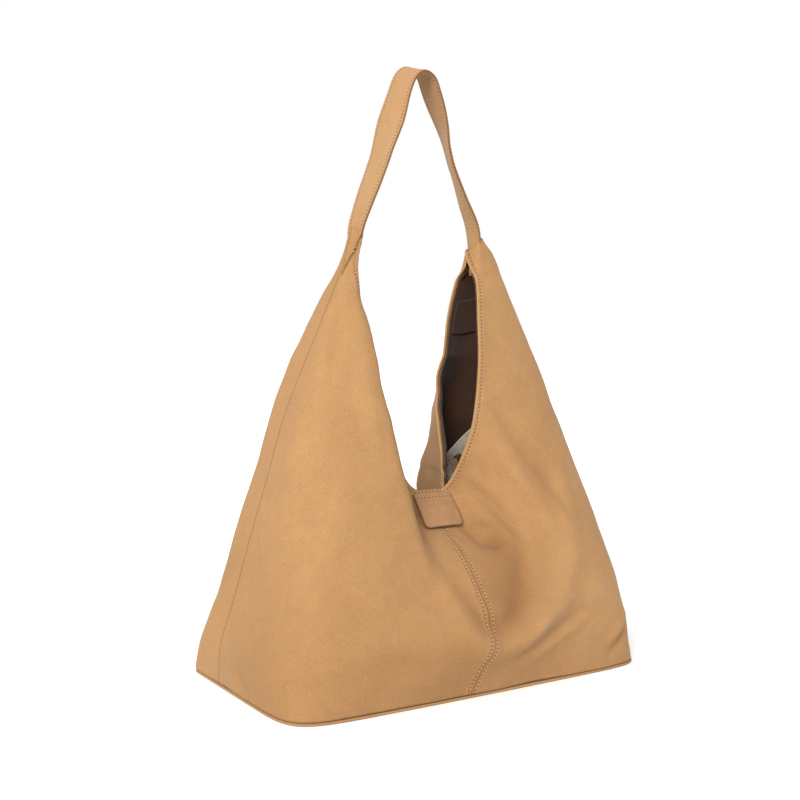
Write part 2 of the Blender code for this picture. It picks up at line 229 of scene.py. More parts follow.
def woven_cloth(name, dark, light, threads=1600, sheen=0.1):
    """A plain weave along two slanted directions, with slubs."""
    mat, shader, tree = new_material(name)
    coords = add_node(tree, "TexCoord").outputs["Object"]
    split = add_node(tree, "SeparateXYZ", {"Vector": coords}).outputs
    across = add_node(tree, "Math", {0: split["X"], 1: split["Y"]}, operation="ADD").outputs[0]
    waves = []
    for axis in (across, split["Z"]):
        phase = add_node(tree, "Math", {0: axis, 1: threads * 2.0}, operation="MULTIPLY").outputs[0]
        waves.append(add_node(tree, "Math", {0: phase}, operation="SINE").outputs[0])
    weave = add_node(tree, "Math", {0: waves[0], 1: waves[1]}, operation="MULTIPLY").outputs[0]
    level = add_node(tree, "MapRange", {"Value": weave, "From Min": -1.0, "From Max": 1.0})
    weave = level.outputs["Result"]
    slub = add_noise(tree, coords, 320, 4)
    cloud = add_noise(tree, coords, 26, 3)
    base = blend_colours(tree, weave, (*dark, 1), (*light, 1))
    base = tint(tree, base, ramp(tree, slub, [(0.3, 0.82), (0.7, 1.14)]),
                ramp(tree, cloud, [(0.3, 0.86), (0.7, 1.1)]))
    normal = bump(tree, cloud, 0.3, 0.002, bump(tree, weave, 0.3, 0.00025))
    connect(tree, shader, base, ramp(tree, slub, [(0.3, 0.68), (0.7, 0.86)]), normal)
    shader.inputs["Sheen Weight"].default_value = sheen
    shader.inputs["Specular IOR Level"].default_value = 0.25
    return mat


def twisted_thread(name, colour):
    """Sewing thread: slanted bands of light and dark."""
    mat, shader, tree = new_material(name)
    coords = add_node(tree, "TexCoord").outputs["Object"]
    twist = add_node(tree, "TexWave", {"Vector": coords, "Scale": 900, "Distortion": 1.5},
                     bands_direction="DIAGONAL").outputs["Fac"]
    base = tint(tree, (*colour, 1), ramp(tree, twist, [(0.0, 0.7), (1.0, 1.1)]))
    tree.links.new(base, shader.inputs["Base Color"])
    tree.links.new(bump(tree, twist, 0.5, 0.0001), shader.inputs["Normal"])
    shader.inputs["Roughness"].default_value = 0.55
    shader.inputs["Sheen Weight"].default_value = 0.15
    return mat


def brushed_metal(name, colour):
    """Antique brass: brushed, darker where it is handled least."""
    mat, shader, tree = new_material(name)
    coords = add_node(tree, "TexCoord").outputs["Object"]
    patina = add_noise(tree, coords, 260, 5)
    brush = add_noise(tree, add_node(tree, "Mapping", {"Vector": coords, "Scale": (4, 4, 60)})
                      .outputs["Vector"], 120, 3)
    base = blend_colours(tree, ramp(tree, patina, [(0.4, 0.0), (0.65, 1.0)]), (*colour, 1),
                         (colour[0] * 0.5, colour[1] * 0.46, colour[2] * 0.4, 1))
    connect(tree, shader, base, ramp(tree, patina, [(0.3, 0.26), (0.7, 0.5)]),
            bump(tree, brush, 0.2, 0.0001))
    shader.inputs["Metallic"].default_value = 1.0
    return mat


# ---- the bag's shape ----
# Profiles over height, in metres: (height, value). Depths run outward from Y = 0.

V_BOTTOM = 0.178
PEAK = 0.417
TOP = 0.436               # where the panels' wrapped ends stop on the strap
FOOT = 0.0032             # the panels' lower edge, just above the base panel
CENTRE_LOW = [(0, .122), (.03, .129), (.055, .133), (.075, .129), (.095, .112), (.127, .081),
              (.146, .050), (.160, .037), (V_BOTTOM, .0285)]
CENTRE = {(-1, -1): CENTRE_LOW + [(.21, .020), (.25, .0135), (.30, .011), (.36, .0105),
                                  (PEAK, .0125), (TOP, .0135)],
          (1, -1): CENTRE_LOW + [(.21, .033), (.25, .040), (.30, .041), (.36, .027),
                                 (PEAK, .0135), (TOP, .0135)]}
CENTRE[-1, 1] = CENTRE[1, 1] = [
    (0, .102), (.03, .120), (.06, .130), (.09, .113), (.12, .072), (.146, .008), (.158, -.0145),
    (V_BOTTOM, -.016), (.21, -.018), (.24, -.010), (.27, .004), (.322, .009), (.37, .014),
    (PEAK, .0135), (TOP, .0135)]
LOBE_DEPTH = {-1: [(0, .121), (.03, .121), (.06, .117), (.10, .106), (.14, .091),
                   (V_BOTTOM, .077), (.24, .058), (.30, .042), (.36, .027), (PEAK, .0138),
                   (TOP, .0135)],
              1: [(0, .098), (.03, .098), (.06, .096), (.10, .089), (.14, .080),
                  (V_BOTTOM, .071), (.24, .058), (.28, .055), (.31, .052), (.34, .045),
                  (.37, .034), (.39, .025), (PEAK, .0140), (TOP, .0135)]}
# Where the middle's depth starts to give way to the lobe's, and over what distance.
START = {(-1, -1): [(0, 0), (.07, 0), (.095, .012), (.12, .023), (.146, .027), (V_BOTTOM, .030),
                    (.19, .0325), (.23, .0375), (.25, .040), (.27, .0470), (.31, .053),
                    (.349, .0605), (.37, .066), (TOP, .058)],
         (1, 1): [(0, 0), (.11, 0), (.15, .016), (V_BOTTOM, .0205), (.19, .0195), (.20, .0165),
                  (.23, .0160), (.25, .0175), (.268, .0210), (.31, 0), (TOP, 0)]}
SPREAD = {(-1, -1): [(0, .130), (.06, .112), (.095, .034), (.12, .017), (.146, .014),
                     (.24, .014), (.27, .011), (.35, .008), (TOP, .008)],
          (1, -1): [(0, .130), (.06, .112), (.12, .080), (V_BOTTOM, .066)]}
SPREAD[-1, 1] = [(0, .130), (.06, .112), (.12, .070), (.15, .046), (V_BOTTOM, .037),
                 (.25, .045), (.30, .066)]
SPREAD[1, 1] = [(0, .130), (.06, .112), (.12, .060), (.15, .024), (V_BOTTOM, .0140),
                (.20, .018), (.22, .022), (.268, .027), (.31, .066)]
FOOT_DRIFT = -.018        # the front's centre seam swings left below the belly
CENTRE_FLATNESS = 2.4
SEAM_X = {-1: [(0, .2000), (.03, .2000), (.08, .1880), (.14, .1738), (.19, .160), (.25, .1447),
               (.31, .1222), (.37, .0965), (.405, .081), (.42, .0765), (TOP, .0725)],
          1: [(0, .2000), (.08, .1995), (.12, .1930), (.165, .182), (.22, .166), (.28, .1445),
              (.34, .121), (.39, .1005), (.405, .0955), (.415, .0900), (.425, .0808),
              (TOP, .0738)]}
SEAM_Y = [(0, .034), (.06, .029), (.12, .021), (V_BOTTOM, .015), (.25, .007), (.31, .001),
          (.36, -.002), (TOP, 0)]
SQUARENESS = {(-1, -1): [(0, 10), (.03, 6.5), (.08, 4.6), (V_BOTTOM, 3.8), (.28, 3.6),
                         (TOP, 3.2)],
              (1, -1): [(0, 12), (.03, 9), (.08, 6.5), (V_BOTTOM, 5.5), (.30, 4.5), (.38, 3.5),
                        (TOP, 4)],
              (-1, 1): [(0, 20), (.02, 11), (.05, 6.4), (.10, 5.2), (V_BOTTOM, 5.4), (.30, 5.4),
                        (.37, 5), (TOP, 3.2)],
              (1, 1): [(0, 16), (.03, 9), (.08, 5.5), (V_BOTTOM, 4.4), (.28, 4), (TOP, 4)]}
# The opening's edge, from the V's lowest point to the peak: (distance from the middle, height).
V_CORNER = .1740
UPPER_EDGE = [(.049, .309), (.055, .348), (.0600, .380), (.0624, .396), (.0646, .409),
              (.0643, .4165)]
EDGE = {(1, -1): [(0, V_CORNER), (.0035, .1768), (.0090, .1786), (.0150, .1822), (.021, .190),
                  (.028, .207), (.036, .233), (.043, .268), (.049, .309), (.055, .348), (.0595, .376),
                  (.0606, .390), (.0604, .403), (.0596, .4165)],
        (1, 1): [(0, V_CORNER), (.009, .1762), (.0180, .1782), (.0234, .1822), (.0222, .190),
                 (.0198, .200), (.0180, .212), (.0180, .225), (.0200, .240), (.0234, .257),
                 (.0300, .272), (.0390, .287)] + UPPER_EDGE,
        (-1, -1): [(0, V_CORNER), (.0035, .1768), (.0090, .1786), (.0165, .1820), (.024, .189),
                   (.032, .206), (.041, .234), (.050, .271), (.0585, .31), (.0663, .349),
                   (.0716, .382), (.0712, .402), (.0664, .420), (.0632, .429), (.0620, .433)]}
EDGE[-1, 1] = EDGE[-1, -1]
SEAM_TOP = {(-1, -1): .403, (-1, 1): .434, (1, -1): .431, (1, 1): .426}
# Round the strap's ends the section closes into a tube: its middle and its inner side.
TUBE_MIDDLE = {-1: .0700, 1: .0708}
TUBE_INNER = {-1: .0616, 1: .0640}

# Angle at which the panels' rows leave the inner edge, by distance past the V's corner.
ROW_DIP = [(-.14, 0), (-.06, -.16), (0, -.38), (.05, -.30), (.25, -.15)]
ROW_NEIGHBOURS = 40       # rows on each side that are searched for a point's nearest edge
ROWS = 364
SPREAD_COLUMNS = 78
EDGE_DISTANCES = [0, .00012, .0004, .0008, .0013, .0019, .0026, .0032, .0038, .0044, .005, .0056,
                  .0063, .0072, .0084, .010, .012, .0145, .0175]
SEAM_DISTANCES = [.0085, .006, .004, .0026, .0016, .0009, .0004, .00012, 0]
SECTION_SAMPLES = 150


def profile(pairs, at):
    """Monotone cubic through the pairs, held constant past its ends."""
    xs, ys = np.array(pairs, float).T
    at = np.clip(at, xs[0], xs[-1])
    widths = np.diff(xs)
    rises = np.diff(ys) / widths
    slopes = np.concatenate(([rises[0]], np.zeros(len(rises) - 1), [rises[-1]]))
    same = rises[:-1] * rises[1:] > 0
    slopes[1:-1][same] = (2 * rises[:-1] * rises[1:])[same] / (rises[:-1] + rises[1:])[same]
    i = np.clip(np.searchsorted(xs, at, side="right") - 1, 0, len(widths) - 1)
    t = (at - xs[i]) / widths[i]
    return (ys[i] * (1 + 2 * t) * (1 - t) ** 2 + slopes[i] * widths[i] * t * (1 - t) ** 2
            + ys[i + 1] * t * t * (3 - 2 * t) + slopes[i + 1] * widths[i] * t * t * (t - 1))


def smooth(low, high, value):
    t = np.clip((np.asarray(value, float) - low) / (high - low), 0, 1)
    return t * t * (3 - 2 * t)


def section_tables(side, face, heights):
    """Half of each height's cross-section: x, y and the distance along it from the middle."""
    z = np.asarray(heights, float)[:, None]
    seam_x, power = profile(SEAM_X[side], z), profile(SQUARENESS[side, face], z)
    diagonal = 0.5 ** (1 / power)
    half = SECTION_SAMPLES // 2
    front = np.linspace(0, 1, half)[None, :] * diagonal
    flank = (1 - np.linspace(0, 1, SECTION_SAMPLES - half + 1)[None, 1:]) * diagonal
    across = np.concatenate([front, (1 - flank ** power) ** (1 / power)], 1)
    along = np.concatenate([(1 - front ** power) ** (1 / power), flank], 1)
    x = seam_x * across
    rim = profile(SEAM_Y, z)
    lobe = profile(LOBE_DEPTH[face], z)
    centre = profile(CENTRE[side, face], z)
    past = np.maximum(x - profile(START.get((side, face), [(0, 0), (TOP, 0)]), z), 0)
    near = np.exp(-(past / profile(SPREAD[side, face], z)) ** CENTRE_FLATNESS)
    out = (lobe - face * rim) * along + (centre - lobe) * near * along
    middle, inner = TUBE_MIDDLE[side], TUBE_INNER[side]
    bend = np.sqrt(np.clip(1 - ((middle - x) / (middle - inner)) ** 2, 0, 1))
    closing = smooth(.385, .415, z) * (x < middle)
    out = out * (1 - closing + closing * bend)
    y = face * out + rim
    steps = np.hypot(np.diff(x, axis=1), np.diff(y, axis=1))
    girth = np.concatenate([np.zeros_like(z), np.cumsum(steps, 1)], 1)
    return x, y, girth


TABLE_HEIGHTS = np.linspace(0, TOP, 437)
TABLES = {(side, face): section_tables(side, face, TABLE_HEIGHTS)
          for side in (-1, 1) for face in (-1, 1)}


def look_up(tables, girth, z):
    """The point (|x|, y) at a distance round the section from the middle, at a height."""
    xs, ys, girths = tables
    place = np.clip(z, 0, TOP) / TOP * (len(TABLE_HEIGHTS) - 1)
    low = np.minimum(place.astype(int), len(TABLE_HEIGHTS) - 2)
    part = place - low
    result = np.zeros(z.shape + (2,))
    for row in np.unique(low):
        chosen = low == row
        ends = []
        for k in (row, row + 1):
            share = girth[chosen] / (girths[row, -1] * (1 - part[chosen])
                                     + girths[row + 1, -1] * part[chosen])
            at = share * girths[k, -1]
            ends.append((np.interp(at, girths[k], xs[k]), np.interp(at, girths[k], ys[k])))
        for axis in (0, 1):
            result[chosen, axis] = (ends[0][axis] * (1 - part[chosen])
                                    + ends[1][axis] * part[chosen])
    return result


def full_girth(tables, z):
    return np.interp(z, TABLE_HEIGHTS, tables[2][:, -1])


def girth_at(tables, x, z):
    """Distance round the section from the middle to |x|."""
    rows = np.clip(np.rint(z / TOP * (len(TABLE_HEIGHTS) - 1)), 0, len(TABLE_HEIGHTS) - 1)
    return np.array([np.interp(one, tables[0][k], tables[2][k])
                     for one, k in zip(x, rows.astype(int))])


def unit(vectors):
    return vectors / np.maximum(np.linalg.norm(vectors, axis=-1, keepdims=True), 1e-12)


def lengths_along(points):
    """Distance along an open line to each of its points."""
    steps = np.linalg.norm(np.diff(points, axis=0), axis=1)
    return np.concatenate([[0], np.cumsum(steps)])


def resample(points, count):
    """The points of an open line spaced evenly along it."""
    points = np.asarray(points, float)
    along = lengths_along(points)
    return np.stack([np.interp(np.linspace(0, along[-1], count), along, axis)
                     for axis in points.T], 1)


def catmull(points, steps=16):
    """A smooth curve through the points."""
    p = np.asarray(points, float)
    p = np.vstack([2 * p[0] - p[1], p, 2 * p[-1] - p[-2]])
    t = np.linspace(0, 1, steps, endpoint=False)[:, None]
    pieces = [0.5 * (2 * b + (c - a) * t + (2 * a - 5 * b + 4 * c - d) * t ** 2
                     + (3 * b - a - 3 * c + d) * t ** 3)
              for a, b, c, d in zip(p, p[1:], p[2:], p[3:])]
    return np.vstack(pieces + [p[-2:-1]])


class Quarter:
    """One of the four panels: its base surface as a grid, and what is sewn to its edges."""

    def __init__(self, side, face):
        self.side, self.face = side, face
        self.tables = TABLES[side, face]
        edge = catmull(EDGE[side, face])
        girth = girth_at(self.tables, edge[:, 0], edge[:, 1])
        seam = [[0, z] for z in np.linspace(FOOT, V_CORNER, 60, endpoint=False)]
        line = np.vstack([seam, np.stack([girth, edge[:, 1]], 1)])
        self.border = resample(line, ROWS)             # (girth, height) along the inner edge
        self.along = lengths_along(self.border)
        self.corner = np.interp(V_CORNER, self.border[:, 1], self.along)
        self.lay_rows()

    def lay_rows(self):
        """Rows leave the inner edge at a dip, steepest at the V's corner, and end level."""
        border = self.border
        past = self.along - self.corner
        angle = profile(ROW_DIP, past)
        share = self.along / self.along[-1]
        seam_z = FOOT + (SEAM_TOP[self.side, self.face] - FOOT) * share
        end = np.stack([full_girth(self.tables, seam_z), seam_z], 1)
        reach = np.linalg.norm(end - border, axis=1)
        start_pull = (np.minimum(0.36 * reach, 0.055))[:, None]
        end_pull = (0.38 * reach)[:, None]
        first = border + start_pull * np.stack([np.cos(angle), np.sin(angle)], 1)
        second = end - end_pull * np.array([[1, 0]])
        t = np.linspace(0, 1, 72)[None, :, None]
        p = [a[:, None, :] for a in (border, first, second, end)]
        curve = ((1 - t) ** 3 * p[0] + 3 * t * (1 - t) ** 2 * p[1] + 3 * t * t * (1 - t) * p[2]
                 + t ** 3 * p[3])
        rows = []
        for line in curve:
            along = lengths_along(line)
            total = along[-1]
            fit = min(1.0, total / 0.060)
            near = np.array(EDGE_DISTANCES) * fit
            far = total - np.array(SEAM_DISTANCES) * fit
            middle = np.linspace(near[-1], far[0], SPREAD_COLUMNS + 2)[1:-1]
            stops = np.concatenate([near, middle, far])
            rows.append(np.stack([np.interp(stops, along, line[:, 0]),
                                  np.interp(stops, along, line[:, 1])], 1))
        self.flat = np.array(rows)                     # (row, column, girth and height)
        self.place()
        self.measure_edges()

    def to_space(self, girth, z):
        xy = look_up(self.tables, np.abs(girth), z)
        x = self.side * np.where(girth < 0, -xy[..., 0], xy[..., 0])
        if self.face < 0:
            x = x + FOOT_DRIFT * (1 - smooth(0, .055, z)) * np.exp(-(x / .07) ** 2)
        return np.stack([x, xy[..., 1], z], -1)

    def place(self):
        self.base = self.to_space(self.flat[..., 0], self.flat[..., 1])
        across = np.gradient(self.base, axis=1)
        up = np.gradient(self.base, axis=0)
        self.normal = unit(np.cross(across, up) * (-self.face * self.side))

    def measure_edges(self):
        """Each point's distance to the inner edge, its place along it, and its distance to the seam."""
        rows, columns = self.flat.shape[:2]
        self.inner_distance = np.full((rows, columns), 1.0)
        self.inner_place = np.repeat(self.along[:, None], columns, 1)
        close = len(EDGE_DISTANCES) + 8
        a, b = self.border[:-1], self.border[1:]
        step = b - a
        length = np.maximum((step ** 2).sum(1), 1e-14)
        for row in range(rows):
            points = self.flat[row, :close]
            low, high = max(0, row - ROW_NEIGHBOURS), min(len(a), row + ROW_NEIGHBOURS)
            offset = points[:, None, :] - a[None, low:high]
            t = np.clip((offset * step[None, low:high]).sum(-1) / length[low:high], 0, 1)
            gap = np.linalg.norm(offset - t[..., None] * step[None, low:high], axis=-1)
            best = gap.argmin(1)
            pick = np.arange(close)
            self.inner_distance[row, :close] = gap[pick, best]
            index = low + best
            self.inner_place[row, :close] = (self.along[index]
                                             + t[pick, best] * np.sqrt(length[index]))
        self.seam_distance = full_girth(self.tables, self.flat[..., 1]) - self.flat[..., 0]

    def at(self, girth, z):
        """Base point and outward normal at a place on the flat pattern."""
        step = 0.0006
        girth, z = np.asarray(girth, float), np.asarray(z, float)
        out = [self.to_space(g, h) for g, h in
               ((girth, z), (girth + step, z), (girth - step, z), (girth, z + step),
                (girth, z - step))]
        normal = np.cross(out[1] - out[2], out[3] - out[4]) * (-self.face * self.side)
        return out[0], unit(normal)


# ---- panels ----

HEM_RADIUS = 0.0012
SEAM_RADIUS = 0.0008
PANEL_THICKNESS = 0.0013
# Depths below the suede's outer face, to each inner layer's own outer and inner face.
FACING_DEPTHS, LINING_DEPTHS = (0.0028, 0.0037), (0.0041, 0.0050)
BINDING_DEPTHS, PATCH_DEPTHS = (0.0052, 0.0059), (0.0052, 0.0062)
PATCH_SHARES = (0.80, 0.88)            # of the panels' rows, at each peak
LIP_THICKNESS, LIP_RADIUS = 0.0009, 0.0006     # where the panels' tops lap round the strap
STITCH_INSET = 0.0044     # of the hem's stitches, from the folded edge
TWIN_INSET = 0.0035       # of each row beside the centre seam
STITCH_PITCH = 0.0037
THREAD_RADIUS = 0.00046
STITCH_TOP = {-1: 0.400, 1: 0.412}     # height where the hem's stitches end
INSIDE_TOP = {-1: 0.398, 1: 0.402}     # and where the facings and linings end

# painted shade in the fold creases and painted highlight on the fold ridges
CREASE_SHADE, RIDGE_HIGHLIGHT = 34, 45       # darkening and paling for each metre of fold

# Folds, each a line on the panel's pattern: (points of (girth, height), height of the fold,
# half-width). Girth is measured round the section from the middle, to the left below zero.
FOLDS = {-1: [
    ([(-.034, .112), (-.031, .080), (-.014, .057), (.011, .045), (.042, .053), (.076, .076)],
     .0046, .0125),
    ([(.044, .050), (.088, .078), (.116, .110), (.134, .150), (.140, .200)], .0040, .0160),
    ([(-.018, .100), (-.004, .072), (.016, .063), (.038, .080), (.058, .108), (.072, .140)],
     -.0056, .0130),
    ([(.066, .256), (.095, .217), (.128, .180), (.140, .150)], -.0046, .0095),
    ([(.052, .232), (.082, .200), (.108, .165), (.112, .135)], .0035, .0090),
    ([(.036, .188), (.064, .159), (.075, .130)], -.0040, .0070),
    ([(.018, .168), (.023, .148), (.028, .126)], -.0035, .0050),
    ([(.026, .134), (.040, .131), (.058, .137)], -.0046, .0042),
    ([(.028, .144), (.046, .142), (.062, .150)], .0022, .0050),
    ([(.030, .036), (.063, .060), (.112, .079)], .0022, .0065),
    ([(.036, .030), (.075, .050), (.125, .068)], -.0022, .0065),
    ([(.053, .024), (.080, .041), (.130, .060)], .0017, .0060),
    ([(.186, .040), (.166, .026), (.149, .016)], -.0040, .0050),
    ([(.192, .052), (.170, .040), (.146, .028)], .0024, .0070),
    ([(-.100, .372), (-.118, .335), (-.135, .290)], -.0024, .0080),
    ([(-.088, .350), (-.100, .290), (-.108, .220)], .0030, .0120),
    ([(-.290, .030), (-.278, .017), (-.264, .004)], -.0030, .0040),
    ([(-.190, .028), (-.120, .044), (-.050, .040)], -.0024, .0140),
    ([(-.150, .190), (-.165, .120), (-.170, .060)], .0027, .0180),
], 1: [
    ([(.030, .158), (.052, .122), (.062, .080)], -.0049, .0110),
    ([(-.036, .160), (-.066, .126), (-.086, .074)], -.0043, .0120),
    ([(-.060, .050), (-.010, .040), (.050, .052), (.090, .085)], .0049, .0130),
    ([(.075, .250), (.105, .205), (.120, .150)], -.0035, .0110),
    ([(-.085, .280), (-.112, .225), (-.130, .160)], .0038, .0120),
    ([(.180, .060), (.150, .036), (.118, .022)], -.0030, .0070),
    ([(-.188, .050), (-.160, .030), (-.128, .018)], -.0032, .0070),
]}
# Patches of painted shade in the bag's hollows, under the V and round the belly and flanks: (girth,
# height, reach across, reach up, how much).
HOLLOW_SHADE_PATCHES = {-1: [(.045, .128, .036, .042, .38), (.020, .085, .030, .030, .24),
                 (.000, .022, .130, .028, .20), (.112, .190, .024, .055, .16),
                 (.245, .100, .050, .120, .16), (-.240, .030, .080, .040, .14),
                 (-.060, .060, .090, .050, .15)],
            1: [(.000, .110, .060, .060, .16), (.000, .020, .150, .026, .12),
                (.040, .195, .020, .060, .22)]}


def rounded(distance, radius):
    """How far a rolled edge drops below the surface near the edge."""
    inside = np.clip(radius - distance, 0, radius)
    return radius - np.sqrt(radius ** 2 - inside ** 2)


def fold_heights(face, girth, z):
    total = np.zeros(girth.shape)
    for points, height, width in FOLDS[face]:
        line = resample(catmull(points, 6), 24)
        near = np.full(girth.shape, 1e9)
        share = np.zeros(girth.shape)
        for k, (a, b) in enumerate(zip(line, line[1:])):
            step = b - a
            t = np.clip(((girth - a[0]) * step[0] + (z - a[1]) * step[1]) / (step @ step), 0, 1)
            gap = np.hypot(girth - a[0] - t * step[0], z - a[1] - t * step[1])
            closer = gap < near
            near = np.where(closer, gap, near)
            share = np.where(closer, (k + t) / (len(line) - 1), share)
        taper = np.clip(np.sin(np.pi * (0.04 + 0.92 * share)), 0, 1) ** 0.8
        total += height * taper * np.exp(-(near / (width * (0.45 + 0.55 * taper))) ** 2)
    return total


def cloth_noise(points, scale, seed):
    flat = points.reshape(-1, 3)
    shift = Vector((seed * 3.1, seed * 1.7, seed * 2.3))
    values = [noise.noise(Vector(p) * scale + shift) for p in flat]
    return np.array(values).reshape(points.shape[:-1])


def finish_panel(quarter):
    """Folds, hem, seams and puckers as heights over the panel's base surface."""
    girth, z = quarter.flat[..., 0] * quarter.side, quarter.flat[..., 1]
    inner, place, seam = quarter.inner_distance, quarter.inner_place, quarter.seam_distance
    hem = smooth(quarter.corner - 0.004, quarter.corner + 0.002, place)
    top = smooth(PEAK - 0.02, PEAK, z)
    drop = rounded(inner, HEM_RADIUS) + rounded(seam, SEAM_RADIUS) + rounded(z - FOOT, SEAM_RADIUS)
    drop += rounded(quarter.flat[-1, :, 1] - z, LIP_RADIUS)
    inset = STITCH_INSET * hem + TWIN_INSET * (1 - hem)
    wave = np.cos(2 * np.pi * place / STITCH_PITCH)
    row = np.exp(-((inner - inset) / 0.0009) ** 2)
    pucker = np.exp(-((inner - inset) / 0.0026) ** 2) * wave
    allowance = 1 - smooth(inset + 0.0026, inset + 0.0050, inner)
    heights = fold_heights(quarter.face, girth, z)
    calm = smooth(0, 0.012, inner) * smooth(0, 0.012, seam) * (1 - top)
    heights += calm * (0.0016 * cloth_noise(quarter.base, 16, 1.0)
                       + 0.0007 * cloth_noise(quarter.base, 46, 2.0))
    heights += 0.00035 * allowance - 0.00045 * row - 0.00016 * pucker
    heights += -0.00035 * np.exp(-(seam / 0.003) ** 2)
    quarter.drop = drop
    quarter.heights = heights
    quarter.outer = quarter.base + quarter.normal * (heights - drop)[..., None]
    thick = PANEL_THICKNESS + (2 * HEM_RADIUS - PANEL_THICKNESS) * (1 - smooth(.0085, .0105, inner))
    thick = np.minimum(thick, PANEL_THICKNESS * (1 - hem) + thick * hem)
    thick = thick * (1 - top) + LIP_THICKNESS * top
    close = np.minimum(np.maximum(rounded(inner, HEM_RADIUS), rounded(seam, SEAM_RADIUS)), thick)
    back = heights - np.maximum(thick - close, drop)
    quarter.inner_face = quarter.base + quarter.normal * back[..., None]
    rim = np.exp(-(inner / 0.0011) ** 2)
    edge_line = np.exp(-(seam / 0.0011) ** 2) + np.exp(-((z - FOOT) / 0.0012) ** 2)
    # painted shade in the hollows, patch by patch
    hollow_shade = np.zeros_like(z)
    for middle, height, across, up, amount in HOLLOW_SHADE_PATCHES[quarter.face]:
        hollow_shade += amount * np.exp(-((girth - middle) / across) ** 2 - ((z - height) / up) ** 2)
    # painted shade: stitch rows, seam and foot lines, the centre edge below the V, the hollows' patches
    # and the fold creases are darkened; painted highlight on fold ridges, with rubbed wear on the hem's
    # folded edge
    quarter.shade = np.clip(0.30 * row + 0.45 * edge_line + hollow_shade
                            + 0.35 * (1 - hem) * rim + CREASE_SHADE * np.clip(-heights, 0, 0.012), 0, 0.9)
    quarter.rub = np.clip(0.35 * hem * rim + RIDGE_HIGHLIGHT * np.clip(heights - 0.001, 0, 0.01), 0, 0.5)


def add_object(name, points, faces, mats, body="bag", fields=None, smooth_faces=True):
    """A mesh piece; fields are per-point numbers its material reads."""
    mesh = bpy.data.meshes.new(name)
    mesh.from_pydata([tuple(p) for p in points], [], faces)
    mesh.validate()
    for mat in mats if isinstance(mats, list) else [mats]:
        mesh.materials.append(mat)
    for field, values in (fields or {}).items():
        layer = mesh.attributes.new(field, "FLOAT", "POINT")
        layer.data.foreach_set("value", np.asarray(values, np.float32).ravel())
    if smooth_faces:
        mesh.shade_smooth()
    obj = bpy.data.objects.new(name, mesh)
    bpy.context.scene.collection.objects.link(obj)
    if body:
        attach(obj, body)
    return obj


def shell_faces(rows, columns, flip):
    """Faces between two grids, with the second grid's points after the first's, rims closed."""
    a = (np.arange(rows - 1)[:, None] * columns + np.arange(columns - 1)[None, :]).ravel()
    quads = np.stack([a, a + 1, a + columns + 1, a + columns], 1)
    half = rows * columns
    border = np.concatenate([np.arange(columns - 1), np.arange(rows - 1) * columns + columns - 1,
                             (rows - 1) * columns + np.arange(columns - 1, 0, -1),
                             np.arange(rows - 1, 0, -1) * columns])
    after = np.roll(border, -1)
    rim = np.stack([after, border, border + half, after + half], 1)
    faces = np.concatenate([quads, quads[:, ::-1] + half, rim])
    return (faces[:, ::-1] if flip else faces).tolist()


def add_shell(name, outer, inner, mat, flip, fields=None, body="bag"):
    rows, columns = outer.shape[:2]
    points = np.concatenate([outer.reshape(-1, 3), inner.reshape(-1, 3)])
    both = {k: np.concatenate([v.ravel(), v.ravel()]) for k, v in (fields or {}).items()}
    return add_object(name, points, shell_faces(rows, columns, flip), mat, body, both)


def layer(quarter, columns, depths, rows):
    """Two grids at depths below the finished outer surface, over some of its columns and rows."""
    lift = quarter.heights[rows, columns]
    base, normal = quarter.base[rows, columns], quarter.normal[rows, columns]
    return [base + normal * (lift - depth)[..., None] for depth in depths]


def add_panels(quarters, skin, facing_mat, lining_mat):
    for name, quarter in quarters.items():
        finish_panel(quarter)
        flip = quarter.side * quarter.face > 0
        panel = add_shell("suede_" + name, quarter.outer, quarter.inner_face, skin, flip,
                          {"shade": quarter.shade, "rub": quarter.rub})
        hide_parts(name + "_panel")
        start, end = 7, len(EDGE_DISTANCES) + SPREAD_COLUMNS // 6
        last = int(np.searchsorted(quarter.border[:, 1], INSIDE_TOP[quarter.side]))
        hem_rows = slice(int(np.searchsorted(quarter.along, quarter.corner)) - 6, last)
        # the facings take the darker inside suede, painted shade for the bag's inside
        outer, inner = layer(quarter, slice(start, end), FACING_DEPTHS, hem_rows)
        facing = add_shell("suede_facing_" + name, outer, inner, facing_mat, flip,
                           {"shade": np.zeros(outer.shape[:2]), "rub": np.zeros(outer.shape[:2])})
        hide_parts(name + "_facing")
        outer, inner = layer(quarter, slice(4, -2), LINING_DEPTHS, slice(8, last - 4))
        lining = add_shell("lining_" + name, outer, inner, lining_mat, flip)
        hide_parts(name + "_lining")


# ---- stitches ----

THREAD_SIDES, THREAD_RINGS = 7, 7
THREAD_TURNS = np.arange(THREAD_SIDES) * 2 * np.pi / THREAD_SIDES
HOLE_RADIUS, HOLE_DEPTH, HOLE_GAP = 0.00062, 0.0006, 0.0003


def add_thread(points, faces, centre, up, across, thick):
    """One stitch: rings of points round its middle line, and its faces."""
    first = len(points)
    for c, u, w, r in zip(centre, up, across, thick):
        for turn in THREAD_TURNS:
            points.append(c + (u * math.sin(turn) + w * math.cos(turn)) * r)
    for ring in range(THREAD_RINGS - 1):
        for s in range(THREAD_SIDES):
            n = (s + 1) % THREAD_SIDES
            a = first + ring * THREAD_SIDES
            faces.append((a + s, a + n, a + THREAD_SIDES + n, a + THREAD_SIDES + s))
    faces.append(tuple(first + s for s in reversed(range(THREAD_SIDES))))
    faces.append(tuple(first + (THREAD_RINGS - 1) * THREAD_SIDES + s for s in range(THREAD_SIDES)))


